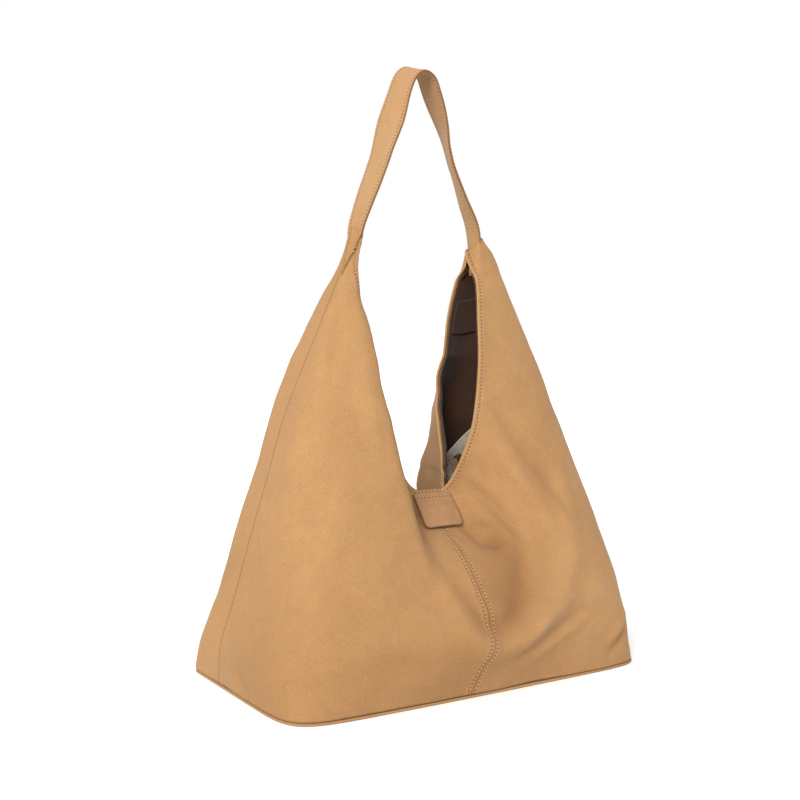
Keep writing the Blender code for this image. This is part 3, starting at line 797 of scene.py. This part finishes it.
def add_hole(points, faces, spot, up, along):
    """One needle hole: a cone sunk into the cloth, dark with painted shade."""
    side = np.cross(up, along)
    first = len(points)
    for turn in THREAD_TURNS:
        points.append(spot + up * 0.00010 + (along * math.cos(turn)
                      + side * math.sin(turn)) * HOLE_RADIUS)
    points.append(spot - up * HOLE_DEPTH)
    for s in range(THREAD_SIDES):
        faces.append((first + s, first + (s + 1) % THREAD_SIDES, first + THREAD_SIDES))
    faces.append(tuple(first + s for s in range(THREAD_SIDES)))


def add_stitches(name, lines, thread, hole, body="bag", pitch=STITCH_PITCH, length=0.0024):
    """Sewn runs: a rounded thread over the cloth for each stitch, and the needle hole at its ends."""
    arch = np.sin(np.linspace(0, np.pi, THREAD_RINGS))
    thick = THREAD_RADIUS * (0.35 + 0.65 * arch ** 0.5)
    points, faces, slots = [], [], []
    for line, normals in lines:
        line = np.asarray(line)
        along = lengths_along(line)
        columns = np.concatenate([line, np.asarray(normals)], 1).T
        count = max(int((along[-1] - 0.001) / pitch), 1)
        spare = (along[-1] - (count - 1) * pitch) / 2
        for k in range(count):
            middle = spare + k * pitch
            stops = np.concatenate([middle + np.linspace(-0.5, 0.5, THREAD_RINGS) * length,
                                    middle + np.array([-0.5, 0.5]) * length
                                    + np.array([-HOLE_GAP, HOLE_GAP])])
            there = np.stack([np.interp(stops, along, c) for c in columns], -1)
            centre, up = there[:THREAD_RINGS, :3], unit(there[:THREAD_RINGS, 3:])
            along_dir = unit(np.gradient(centre, axis=0))
            centre = centre + up * (THREAD_RADIUS * (1.3 * arch - 0.75))[:, None]
            add_thread(points, faces, centre, up, np.cross(along_dir, up), thick)
            slots += [0] * (len(faces) - len(slots))
            for spot in there[THREAD_RINGS:]:
                add_hole(points, faces, spot[:3], spot[3:], along_dir[0])
            slots += [1] * (len(faces) - len(slots))
    obj = add_object(name, points, faces, [thread, hole], body)
    obj.data.polygons.foreach_set("material_index", slots)
    return obj


def surface_line(quarter, pattern):
    """Points and normals on the finished outer surface along a line on the pattern."""
    pattern = np.asarray(pattern, float)
    base, normal = quarter.at(pattern[:, 0], pattern[:, 1])
    grid = quarter.flat.reshape(-1, 2)
    heights = (quarter.heights - quarter.drop).reshape(-1)
    lift = []
    for g, z in pattern:
        gap = np.hypot(grid[:, 0] - g, grid[:, 1] - z)
        near = np.argpartition(gap, 4)[:4]
        weight = 1 / (gap[near] + 1e-5)
        lift.append((heights[near] * weight).sum() / weight.sum())
    return base + normal * (np.array(lift) + 0.0001)[:, None], normal


def offset_line(line, distance):
    """The line moved to its right-hand side, seen with girth across and height up."""
    tangent = unit(np.gradient(line, axis=0))
    return line + distance * np.stack([tangent[:, 1], -tangent[:, 0]], 1)


def add_body_stitches(quarters, thread, hole):
    for name, quarter in quarters.items():
        start = int(np.searchsorted(quarter.along, quarter.corner + 0.004))
        end = int(np.searchsorted(quarter.border[:, 1], STITCH_TOP[quarter.side]))
        line = offset_line(quarter.border[start:end], STITCH_INSET)
        line = line[line[:, 0] > 0.001]
        hem = resample(line, 260)
        rows = [surface_line(quarter, hem)]
        z = np.linspace(0.007, V_CORNER - 0.008, 160)
        rows.append(surface_line(quarter, np.stack([np.full(160, TWIN_INSET), z], 1)))
        add_stitches("stitches_" + name, rows, thread, hole)


# ---- shoulder strap ----

STRAP_AXIS = 0.4305
WRAP_TOP, WRAP_TUCK = 0.4345, 0.0100
# Middle of the strap from left end to right end: (x, z).
STRAP_LINE = [(-.0720, .392), (-.0700, .412), (-.0669, .434), (-.0584, .4587), (-.0443, .496),
              (-.0309, .5336), (-.0190, .5660), (-.0100, .5838), (.0008, .5905), (.0112, .5845),
              (.0188, .5690), (.0320, .5388), (.0393, .5142), (.0431, .5018), (.0480, .4894),
              (.0574, .4646), (.0678, .4393), (.0712, .414), (.0725, .392)]
# Turn of its width away from straight front to back, and half its width, along its length.
STRAP_TURN = [(0, 4), (.08, 5), (.17, 0), (.27, -1), (.36, 8), (.44, 0), (.50, -3), (.57, -8),
              (.64, -19), (.70, -28), (.745, -29), (.80, -24), (.87, -12), (.93, -1), (1, 1)]
# How far its back edge stands above its front edge, as a slope, along its length.
STRAP_TIP = [(0, 0), (.38, 0), (.50, .26), (.62, 0), (1, 0)]
STRAP_HALF_WIDTH = [(0, .0080), (.070, .0090), (.086, .0118), (.10, .0130), (.20, .0195),
                    (.27, .0205), (.72, .0205), (.82, .0170), (.88, .0140), (.925, .0110),
                    (1, .0085)]
STRAP_HALF, STRAP_GAP = 0.0012, 0.00012        # half its thickness, and half the core's slot
STRAP_LAYERS = {"strap_outer": (STRAP_GAP, STRAP_HALF), "strap_backing": (-STRAP_HALF, -STRAP_GAP)}
STRAP_CROWN, STRAP_CURL, STRAP_CURL_WAVES = 0.0005, 0.0009, 37
STRAP_EDGE = np.array([0, .0001, .0003, .0006, .001, .0016, .0024, .0030, .0034, .0038, .0046,
                       .006])
STRAP_EDGE_RADIUS = 0.0006
STRAP_STITCH_INSET = 0.0034
STRAP_ROWS = 420


def strap_stations():
    line = resample(catmull([(x, 0, z) for x, z in STRAP_LINE]), STRAP_ROWS)
    share = np.linspace(0, 1, STRAP_ROWS)
    tangent = unit(np.gradient(line, axis=0))
    turn = np.radians(profile(STRAP_TURN, share))
    wide = np.stack([-np.sin(turn), np.cos(turn), profile(STRAP_TIP, share)], 1)
    wide = unit(wide - tangent * (wide * tangent).sum(1)[:, None])
    up = np.cross(wide, tangent)
    up *= np.where((up * line).sum(1) + up[:, 2] * 0.1 < 0, -1, 1)[:, None]
    return line, wide, up, profile(STRAP_HALF_WIDTH, share)


def strap_curl(along, share):
    """The strap's edges curl a little one way and the other along it."""
    return STRAP_CURL * np.sin(along * STRAP_CURL_WAVES) * share ** 2


def add_strap(skin, core, thread, hole):
    line, wide, up, half = strap_stations()
    along = lengths_along(line)
    pieces = []
    for name, (low, high) in STRAP_LAYERS.items():
        outer, inner, shade, rub = [], [], [], []
        for k in range(STRAP_ROWS):
            reach = min(1, half[k] / 0.0125)
            near = STRAP_EDGE * reach
            across = np.concatenate([-half[k] + near, np.linspace(-half[k] + near[-1],
                                     half[k] - near[-1], 13)[1:-1], (half[k] - near)[::-1]])
            gap = half[k] - np.abs(across)
            groove = np.exp(-((gap - STRAP_STITCH_INSET * reach) / 0.0009) ** 2)
            pucker = groove * math.cos(2 * math.pi * along[k] / STITCH_PITCH)
            relief = (STRAP_CROWN * (1 - (across / half[k]) ** 2) - 0.00030 * groove
                      - 0.00010 * pucker)
            roll = rounded(gap, STRAP_EDGE_RADIUS)
            if name == "strap_outer":
                outside, inside = high + relief - roll, low + roll * 0.6
            else:
                outside, inside = high - roll * 0.6, low - relief + roll
            curl = strap_curl(along[k], across / half[k])
            centre = line[k] + wide[k] * across[:, None]
            outer.append(centre + up[k] * (outside + curl)[:, None])
            inner.append(centre + up[k] * (inside + curl)[:, None])
            # painted shade along the stitch grooves, and the strap's dark painted edge; a paler band on
            # the edge's roll is painted highlight with rubbed wear
            shade.append(0.25 * groove + 0.7 * np.exp(-(gap / 0.0006) ** 2))
            rub.append(0.25 * np.exp(-((gap - 0.0014) / 0.0008) ** 2))
        piece = add_shell("suede_" + name, np.array(outer), np.array(inner), skin, True,
                          {"shade": np.array(shade), "rub": np.array(rub)}, body=None)
        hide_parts(name)
        pieces.append(piece)
    flat_core = [[line[k] + wide[k] * (s * (half[k] - STRAP_HALF)) + up[k] * h for s in (-1, 0, 1)]
                 for h in (0.0001, -0.0001) for k in range(STRAP_ROWS)]
    flat_core = np.array(flat_core).reshape(2, STRAP_ROWS, 3, 3)
    piece = add_shell("webbing_strap_core", flat_core[0], flat_core[1], core, True, body=None)
    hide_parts("strap_core")
    pieces.append(piece)

    shown = [k for k in range(STRAP_ROWS) if line[k, 2] > STRAP_AXIS + 0.004]
    runs = []
    for hand in (-1, 1):
        inset = hand * (half[shown] - STRAP_STITCH_INSET * np.minimum(1, half[shown] / .0125))
        share = inset / half[shown]
        for face in (-1, 1):
            rise = (face * (STRAP_HALF - 0.0002 + STRAP_CROWN * (1 - share ** 2))
                    + strap_curl(along[shown], share))
            runs.append((line[shown] + wide[shown] * inset[:, None] + up[shown] * rise[:, None],
                         up[shown] * face))
    pieces.append(add_stitches("stitches_strap", runs, thread, hole, body=None))
    for piece in pieces:
        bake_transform(piece)


STRAP_END_LOW, STRAP_END_HIGH = 0.384, 0.4145
STRAP_END_X, STRAP_END_LEAN = 0.0760, 0.06
STRAP_END_THICKNESS = 0.0030


def add_strap_ends(mat):
    """The folded ends sewn inside the peaks, darkened with painted shade because they lie in the bag."""
    z, across = np.meshgrid(np.linspace(STRAP_END_LOW, STRAP_END_HIGH, 16),
                            np.linspace(-1, 1, 15), indexing="ij")
    y = (0.0068 + 0.0006 * np.sin(z * 500)) * across
    x = STRAP_END_X - (z - STRAP_END_LOW) * STRAP_END_LEAN + 0.0008 * across ** 2
    thick = STRAP_END_THICKNESS * np.sqrt(np.clip(1 - np.abs(across) ** 6, 0, 1)) + 0.0002
    # painted shade over the whole end
    fields = {"shade": np.full_like(z, 0.85), "rub": np.zeros_like(z)}
    for word, side in (("left", -1), ("right", 1)):
        outer, inner = (np.stack([side * place, y, z], -1) for place in (x, x - thick))
        piece = add_shell("suede_strap_end_" + word, outer, inner, mat, side > 0, fields)
        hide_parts("strap_end_" + word)


def add_peak_wrap(quarter, skin):
    """The part of the left peak that folds round the strap's end, under the front panel's lip."""
    rows, columns = 34, 44
    across = np.linspace(0, 1, columns)[None, :]
    lip = quarter.flat[-1]
    share = (lip[:, 0] - lip[0, 0]) / (lip[-1, 0] - lip[0, 0])
    low = np.interp(across[0], share, lip[:, 1])[None, :]
    up = np.linspace(0, 1, rows)[:, None]
    z = (low - WRAP_TUCK) + (WRAP_TOP - low + WRAP_TUCK) * up
    inner = girth_at(quarter.tables, np.full(z.size, TUBE_INNER[-1] + .0004), z.ravel())
    inner = inner.reshape(z.shape)
    girth = inner + (full_girth(quarter.tables, z) - 0.0002 - inner) * across
    base, normal = quarter.at(girth, z)
    edge = rounded(WRAP_TOP - z, 0.0009)
    rise = smooth(0, .005, z - low)
    flush = smooth(.70, 1, across)
    pinch = 0.0014 * np.exp(-(across / .15) ** 2) + 0.0012 * np.exp(-((across - .78) / .07) ** 2)
    height = -0.0010 - pinch * (1 - rise) + rise * (0.0002 + 0.0006 * flush)
    height = height + 0.0002 * np.sin(z * 420 + girth * 160) * up * (1 - up)
    outer = base + normal * (height - edge)[..., None]
    inner_face = base + normal * (height - 0.0010 + 0.5 * edge)[..., None]
    # a paler line along the wrapped top edge: painted highlight with rubbed wear
    piece = add_shell("suede_left_peak_wrap", outer, inner_face, skin, False,
                      {"shade": 0 * z, "rub": 0.2 * np.exp(-((WRAP_TOP - z) / .0008) ** 2)})


# ---- inner tapes and patches ----

def add_double(name, grids, mat, flips):
    """Several shells as one piece of the bag."""
    points, faces = [], []
    for (outer, inner), flip in zip(grids, flips):
        rows, columns = outer.shape[:2]
        first = sum(len(p) for p in points)
        points.append(np.concatenate([outer.reshape(-1, 3), inner.reshape(-1, 3)]))
        faces += [[first + i for i in face] for face in shell_faces(rows, columns, flip)]
    return add_object(name, np.concatenate(points), faces, mat)


def add_tapes(quarters, tape, patch):
    peak_rows = slice(*(int(ROWS * share) for share in PATCH_SHARES))
    for word in ("left", "right"):
        pair = [quarters["front_" + word], quarters["back_" + word]]
        flips = [q.side * q.face > 0 for q in pair]
        strips = [layer(q, slice(-8, -1), BINDING_DEPTHS, slice(14, int(ROWS * 0.84)))
                  for q in pair]
        piece = add_double("tape_" + word + "_seam", strips, tape, flips)
        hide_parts(word + "_seam_binding")
        patches = [layer(q, slice(12, -9), PATCH_DEPTHS, peak_rows) for q in pair]
        piece = add_double("tape_" + word + "_peak_patch", patches, patch, flips)
        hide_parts(word + "_peak_patch")


# ---- base ----


def base_outline(inset=0.0):
    """The foot of the four panels as one ring of (x, y), counter-clockwise from the middle front."""
    ring = []
    for side, face in ((1, -1), (1, 1), (-1, 1), (-1, -1)):
        xs, ys, girth = (t[3] for t in TABLES[side, face])
        stops = np.linspace(0, girth[-1], 90)
        quarter = np.stack([side * np.interp(stops, girth, xs), np.interp(stops, girth, ys)], 1)
        ring.append(quarter if side * face < 0 else quarter[::-1])
    ring = resample(np.vstack([r[:-1] for r in ring] + [ring[0][:1]]), 361)[:-1]
    tangent = unit(np.roll(ring, -1, 0) - np.roll(ring, 1, 0))
    return ring - inset * np.stack([tangent[:, 1], -tangent[:, 0]], 1)


def add_plate(name, profile_points, mat, wobble=0.0):
    """A plate lofted inward from the outline: profile points are (inset, height)."""
    points, faces = [], []
    for inset, height in profile_points:
        ring = base_outline(min(inset, 0.03))
        if inset > 0.03:
            ring = ring * (1 - (inset - 0.03) / 0.10)
        lift = [wobble * noise.noise(Vector((x * 14 + 5, y * 14, 5))) * min(1, inset / .01)
                for x, y in ring]
        points += [(x, y, height + dz) for (x, y), dz in zip(ring, lift)]
    count = len(ring)
    for k in range(len(profile_points) - 1):
        for i in range(count):
            n = (i + 1) % count
            faces.append((k * count + i, k * count + n, (k + 1) * count + n, (k + 1) * count + i))
    last = (len(profile_points) - 1) * count
    faces.append(tuple(range(count - 1, -1, -1)))
    faces.append(tuple(last + i for i in range(count)))
    # painted shadow: a dark band on the rolled edge where the panels' foot meets the base
    shade = [0.6 if 0.0025 < p[2] < 0.0034 else 0.0 for p in points]
    return add_object(name, points, faces, mat, "bag", {"shade": shade, "rub": np.zeros(len(points))})


def add_base(skin, lining, board):
    rolled = [(.128, .0006), (.10, .0006), (.06, .0005), (.03, .0004), (.016, .0002), (.006, 0),
              (.0012, .0001), (.0003, .0005), (-.0002, .0011), (-.0002, .0017), (.0003, .0023),
              (.0010, .0027), (.0018, .0029), (.006, .0029), (.03, .0029), (.10, .0029),
              (.128, .0029)]
    piece = add_plate("suede_base", rolled, skin)
    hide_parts("base_panel")
    soft = [(.128, .0062), (.10, .0062), (.06, .0061), (.03, .0060), (.008, .0060), (.0066, .0063),
            (.0062, .0067), (.0066, .0071), (.008, .0074), (.016, .0076), (.03, .0078),
            (.06, .0078), (.10, .0078), (.128, .0078)]
    piece = add_plate("lining_base_sheet", soft, lining, 0.0004)
    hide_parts("lining_base")
    paint(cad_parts["base_board"], board)


def paint(node, mat):
    node.data.materials.clear()
    node.data.materials.append(mat)


# ---- label tab ----

TAB_HALF = 0.0220
TAB_SIDE_LINE = [(-.0262, .1795), (-.0305, .1765), (-.0350, .1715), (-.0400, .1655),
                 (-.0455, .1590), (-.0500, .1525), (-.0535, .1475)]
TAB_CORNER = 0.0055
TAB_THICKNESS, TAB_CUP = 0.0019, 0.0016
TAB_STITCHES = (0.0032, 0.0095)      # of its two rows, from the top edge
TAB_STATIONS = 60


def add_tab(leather, thread, hole):
    line = resample(catmull(TAB_SIDE_LINE), TAB_STATIONS)
    along = lengths_along(line)
    tangent = unit(np.gradient(line, axis=0))
    up = np.stack([tangent[:, 1], -tangent[:, 0]], 1)
    outer, inner, shade = [], [], []
    for k in range(TAB_STATIONS):
        left = along[-1] - along[k]
        corner = max(0.0, TAB_CORNER - left)
        half = TAB_HALF - TAB_CORNER + math.sqrt(max(TAB_CORNER ** 2 - corner ** 2, 1e-9))
        across = np.concatenate([-half + np.array([0, .0002, .0005, .0009, .0015, .0025]),
                                 np.linspace(-half + .0035, half - .0035, 21),
                                 half - np.array([.0025, .0015, .0009, .0005, .0002, 0])])
        gap = np.minimum(half - np.abs(across), left)
        roll = rounded(gap, 0.0010)
        stitch = sum(math.exp(-((along[k] - place) / .0008) ** 2) for place in TAB_STITCHES)
        cup = -TAB_CUP * (across / TAB_HALF) ** 2
        rise = TAB_THICKNESS - roll - 0.00030 * stitch + cup
        fall = np.maximum(0.0002 + roll * 0.8, 0) + cup
        for grid, height in ((outer, rise), (inner, fall)):
            grid.append(np.stack([across, line[k, 0] + up[k, 0] * height,
                                  line[k, 1] + up[k, 1] * height], 1))
        # dark burnished edge, and painted shade along the stitch rows
        shade.append(np.clip(0.9 * np.exp(-(gap / 0.0009) ** 2) + 0.3 * stitch, 0, 1))
    outer, inner, shade = np.array(outer), np.array(inner), np.array(shade)
    tab = add_shell("leather_label_tab", outer, inner, leather, False, {"shade": shade}, body=None)
    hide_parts("label_tab", "label_tab_root")
    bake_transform(tab)
    runs = []
    for place in TAB_STITCHES:
        k = int(np.argmin(np.abs(along - place)))
        x = np.linspace(-TAB_HALF + .002, TAB_HALF - .002, 40)
        rise = TAB_THICKNESS - 0.0002 - TAB_CUP * (x / TAB_HALF) ** 2
        runs.append((np.stack([x, line[k, 0] + up[k, 0] * rise, line[k, 1] + up[k, 1] * rise], 1),
                     np.tile([0, up[k, 0], up[k, 1]], (40, 1))))
    add_stitches("stitches_tab", runs, thread, hole, pitch=0.0042, length=0.0026)


# ---- pouch with its zip ----

POUCH_CORNER = np.array([0.038, -0.0120, 0.197])
POUCH_TILT = math.radians(25)
POUCH_LENGTH = 0.088
POUCH_DEPTH = 0.072
# The back wall's top edge as (x, z), and its distance behind Y = 0.
POUCH_MOUTH = [(.0335, .2055), (.0640, .2310), (.090, .247), (.118, .252)]
POUCH_MOUTH_DEPTH = 0.0030
POUCH_CREASES = [(.22, .0011), (.47, -.0013), (.71, .0012)]     # (share of the depth, height)
CLOTH_HALF = 0.0004
ZIP_TAPE_SPAN = (-.0083, .003)
TOOTH_PITCH, TOOTH_HALF = 0.0016, .00055
TOOTH_OUTLINE = [(-.0088, 0), (-.0088, .0007), (-.0064, .0012), (-.0064, 0)]


def pouch_place(u, v, depth):
    """A point of the pouch: u along its top, v down from it, depth towards the back."""
    c, s = math.cos(POUCH_TILT), math.sin(POUCH_TILT)
    return np.stack([POUCH_CORNER[0] + u * c + v * s, POUCH_CORNER[1] + depth,
                     POUCH_CORNER[2] + u * s - v * c], -1)


def pouch_back(share_u, share_v):
    """The back wall hangs open: its top edge rises behind the zip, its foot meets the front wall."""
    foot = pouch_place(share_u * POUCH_LENGTH, POUCH_DEPTH + 0 * share_u, 0.0012 + 0 * share_u)
    top_x = np.interp(share_u, [0, 1], [POUCH_MOUTH[0][0], POUCH_MOUTH[-1][0]])
    top_z = profile(POUCH_MOUTH, top_x)
    top = np.stack([top_x, POUCH_MOUTH_DEPTH + 0 * top_x, top_z], -1)
    fall = share_v[..., None]
    lean = np.stack([fall[..., 0] ** (1 + 0.8 * (1 - share_u)), share_v, share_v], -1)
    return top + (foot - top) * lean


def add_pouch_wall(name, hand, cloth):
    """One cloth wall, creased and bellied; hand is -1 for the front one and 1 for the back one."""
    u, v = np.meshgrid(np.linspace(0, POUCH_LENGTH, 60), np.linspace(0, POUCH_DEPTH, 50),
                       indexing="xy")
    share_u, share_v = u / POUCH_LENGTH, v / POUCH_DEPTH
    belly = np.sin(np.pi * share_u) ** 0.7 * np.sin(np.pi * share_v) ** 0.6
    creases = np.zeros_like(u)
    for k, (row, height) in enumerate(POUCH_CREASES):
        creases += height * np.exp(-((share_v - row - 0.12 * (share_u - .5) * (1 - k)) / .07) ** 2)
    if hand < 0:
        depth = -(0.0005 + 0.0022 * belly) + creases * np.sin(np.pi * share_u)
        depth += 0.0006 * np.sin(u * 190 + v * 90 - 1) * belly
        outer, inner = (pouch_place(u, v, depth + t) for t in (-CLOTH_HALF, CLOTH_HALF))
    else:
        middle = pouch_back(share_u, share_v)
        middle[..., 1] += creases * 2 + 0.0025 * np.sin(share_u * 9 + share_v * 4) * belly
        outer, inner = (middle + np.array([0, t, 0]) for t in (CLOTH_HALF, -CLOTH_HALF))
    piece = add_shell("cloth_" + name, outer, inner, cloth, hand < 0)
    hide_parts(name)


def add_zip_tape(word, hand, tape):
    u, v = np.meshgrid(np.linspace(0, POUCH_LENGTH, 90), np.linspace(*ZIP_TAPE_SPAN, 8))
    ridge = 0.00012 * np.cos(u * 2 * math.pi / 0.002)
    depth = hand * (0.0008 + ridge + 0.0004 * smooth(-.002, .003, v))
    strip = add_shell("tape_zip_" + word, pouch_place(u, v, depth + hand * 0.0004),
                      pouch_place(u, v, depth - hand * 0.0002), tape, hand < 0)
    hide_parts("zip_tape_" + word)


def add_zip_teeth(metal):
    """Small blocks that alternate between the two tapes."""
    points, faces = [], []
    count = int(POUCH_LENGTH / TOOTH_PITCH)
    for k in range(count):
        place = (k + 0.5) * POUCH_LENGTH / count
        hand = -1 if k % 2 else 1
        first = len(points)
        for du in (-TOOTH_HALF, TOOTH_HALF):
            for v, depth in TOOTH_OUTLINE:
                points.append(pouch_place(np.array(place + du), np.array(v),
                                          np.array(hand * depth)).tolist())
        quads = [(0, 1, 2, 3), (7, 6, 5, 4), (0, 4, 5, 1), (1, 5, 6, 2), (2, 6, 7, 3), (3, 7, 4, 0)]
        faces += [tuple(first + i for i in quad) for quad in quads]
    teeth = add_object("zip_teeth", points, faces, metal, smooth_faces=False)


def add_pouch(cloth, tape, metal):
    for word, hand in (("front", -1), ("back", 1)):
        add_pouch_wall("pouch_" + word + "_wall", hand, cloth)
        add_zip_tape(word, hand, tape)
    add_zip_teeth(metal)
    for node in ("zip_slider", "zip_pull", "snap_socket", "snap_stud"):
        paint(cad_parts[node], metal)


# ---- build ----

def build():
    add_camera()
    add_surroundings()
    tan = suede("suede_tan", (.257, .137, .055), (.290, .159, .066), sheen=0.10)
    strap_tan = suede("suede_strap", (.29, .160, .070), (.320, .181, .082), sheen=0.10, grain=0.8)
    # a darker copy of the tan suede: painted shade for the facings and strap ends inside the bag
    inside = suede("suede_inside_shaded", (.17, .070, .026), (.21, .092, .038), sheen=0.05)
    lining = woven_cloth("lining_brown", (.030, .0105, .0045), (.056, .022, .010))
    pouch = woven_cloth("pouch_cloth_grey", (.17, .145, .112), (.27, .235, .185), 1100, 0.2)
    tape = woven_cloth("tape_brown", (.09, .045, .022), (.15, .085, .045), 900)
    leather = smooth_leather("tab_leather_tan", (.245, .127, .056), (.085, .036, .014))
    board = suede("board_grey", (.22, .19, .15), (.28, .24, .19), sheen=0.0)
    thread = twisted_thread("thread_tan", (.40, .245, .12))
    # painted shade: the needle holes' dark colour
    hole = twisted_thread("needle_hole_shade", (.12, .055, .022))
    metal = brushed_metal("antique_brass", (.52, .40, .24))

    quarters = {name: Quarter(side, face) for name, side, face in
                (("front_left", -1, -1), ("front_right", 1, -1),
                 ("back_left", -1, 1), ("back_right", 1, 1))}
    add_panels(quarters, tan, inside, lining)
    add_body_stitches(quarters, thread, hole)
    add_tapes(quarters, tape, lining)
    add_base(tan, lining, board)
    add_strap(strap_tan, tape, thread, hole)
    add_strap_ends(inside)
    add_peak_wrap(quarters["front_left"], tan)
    add_tab(leather, thread, hole)
    add_pouch(pouch, tape, metal)


build()
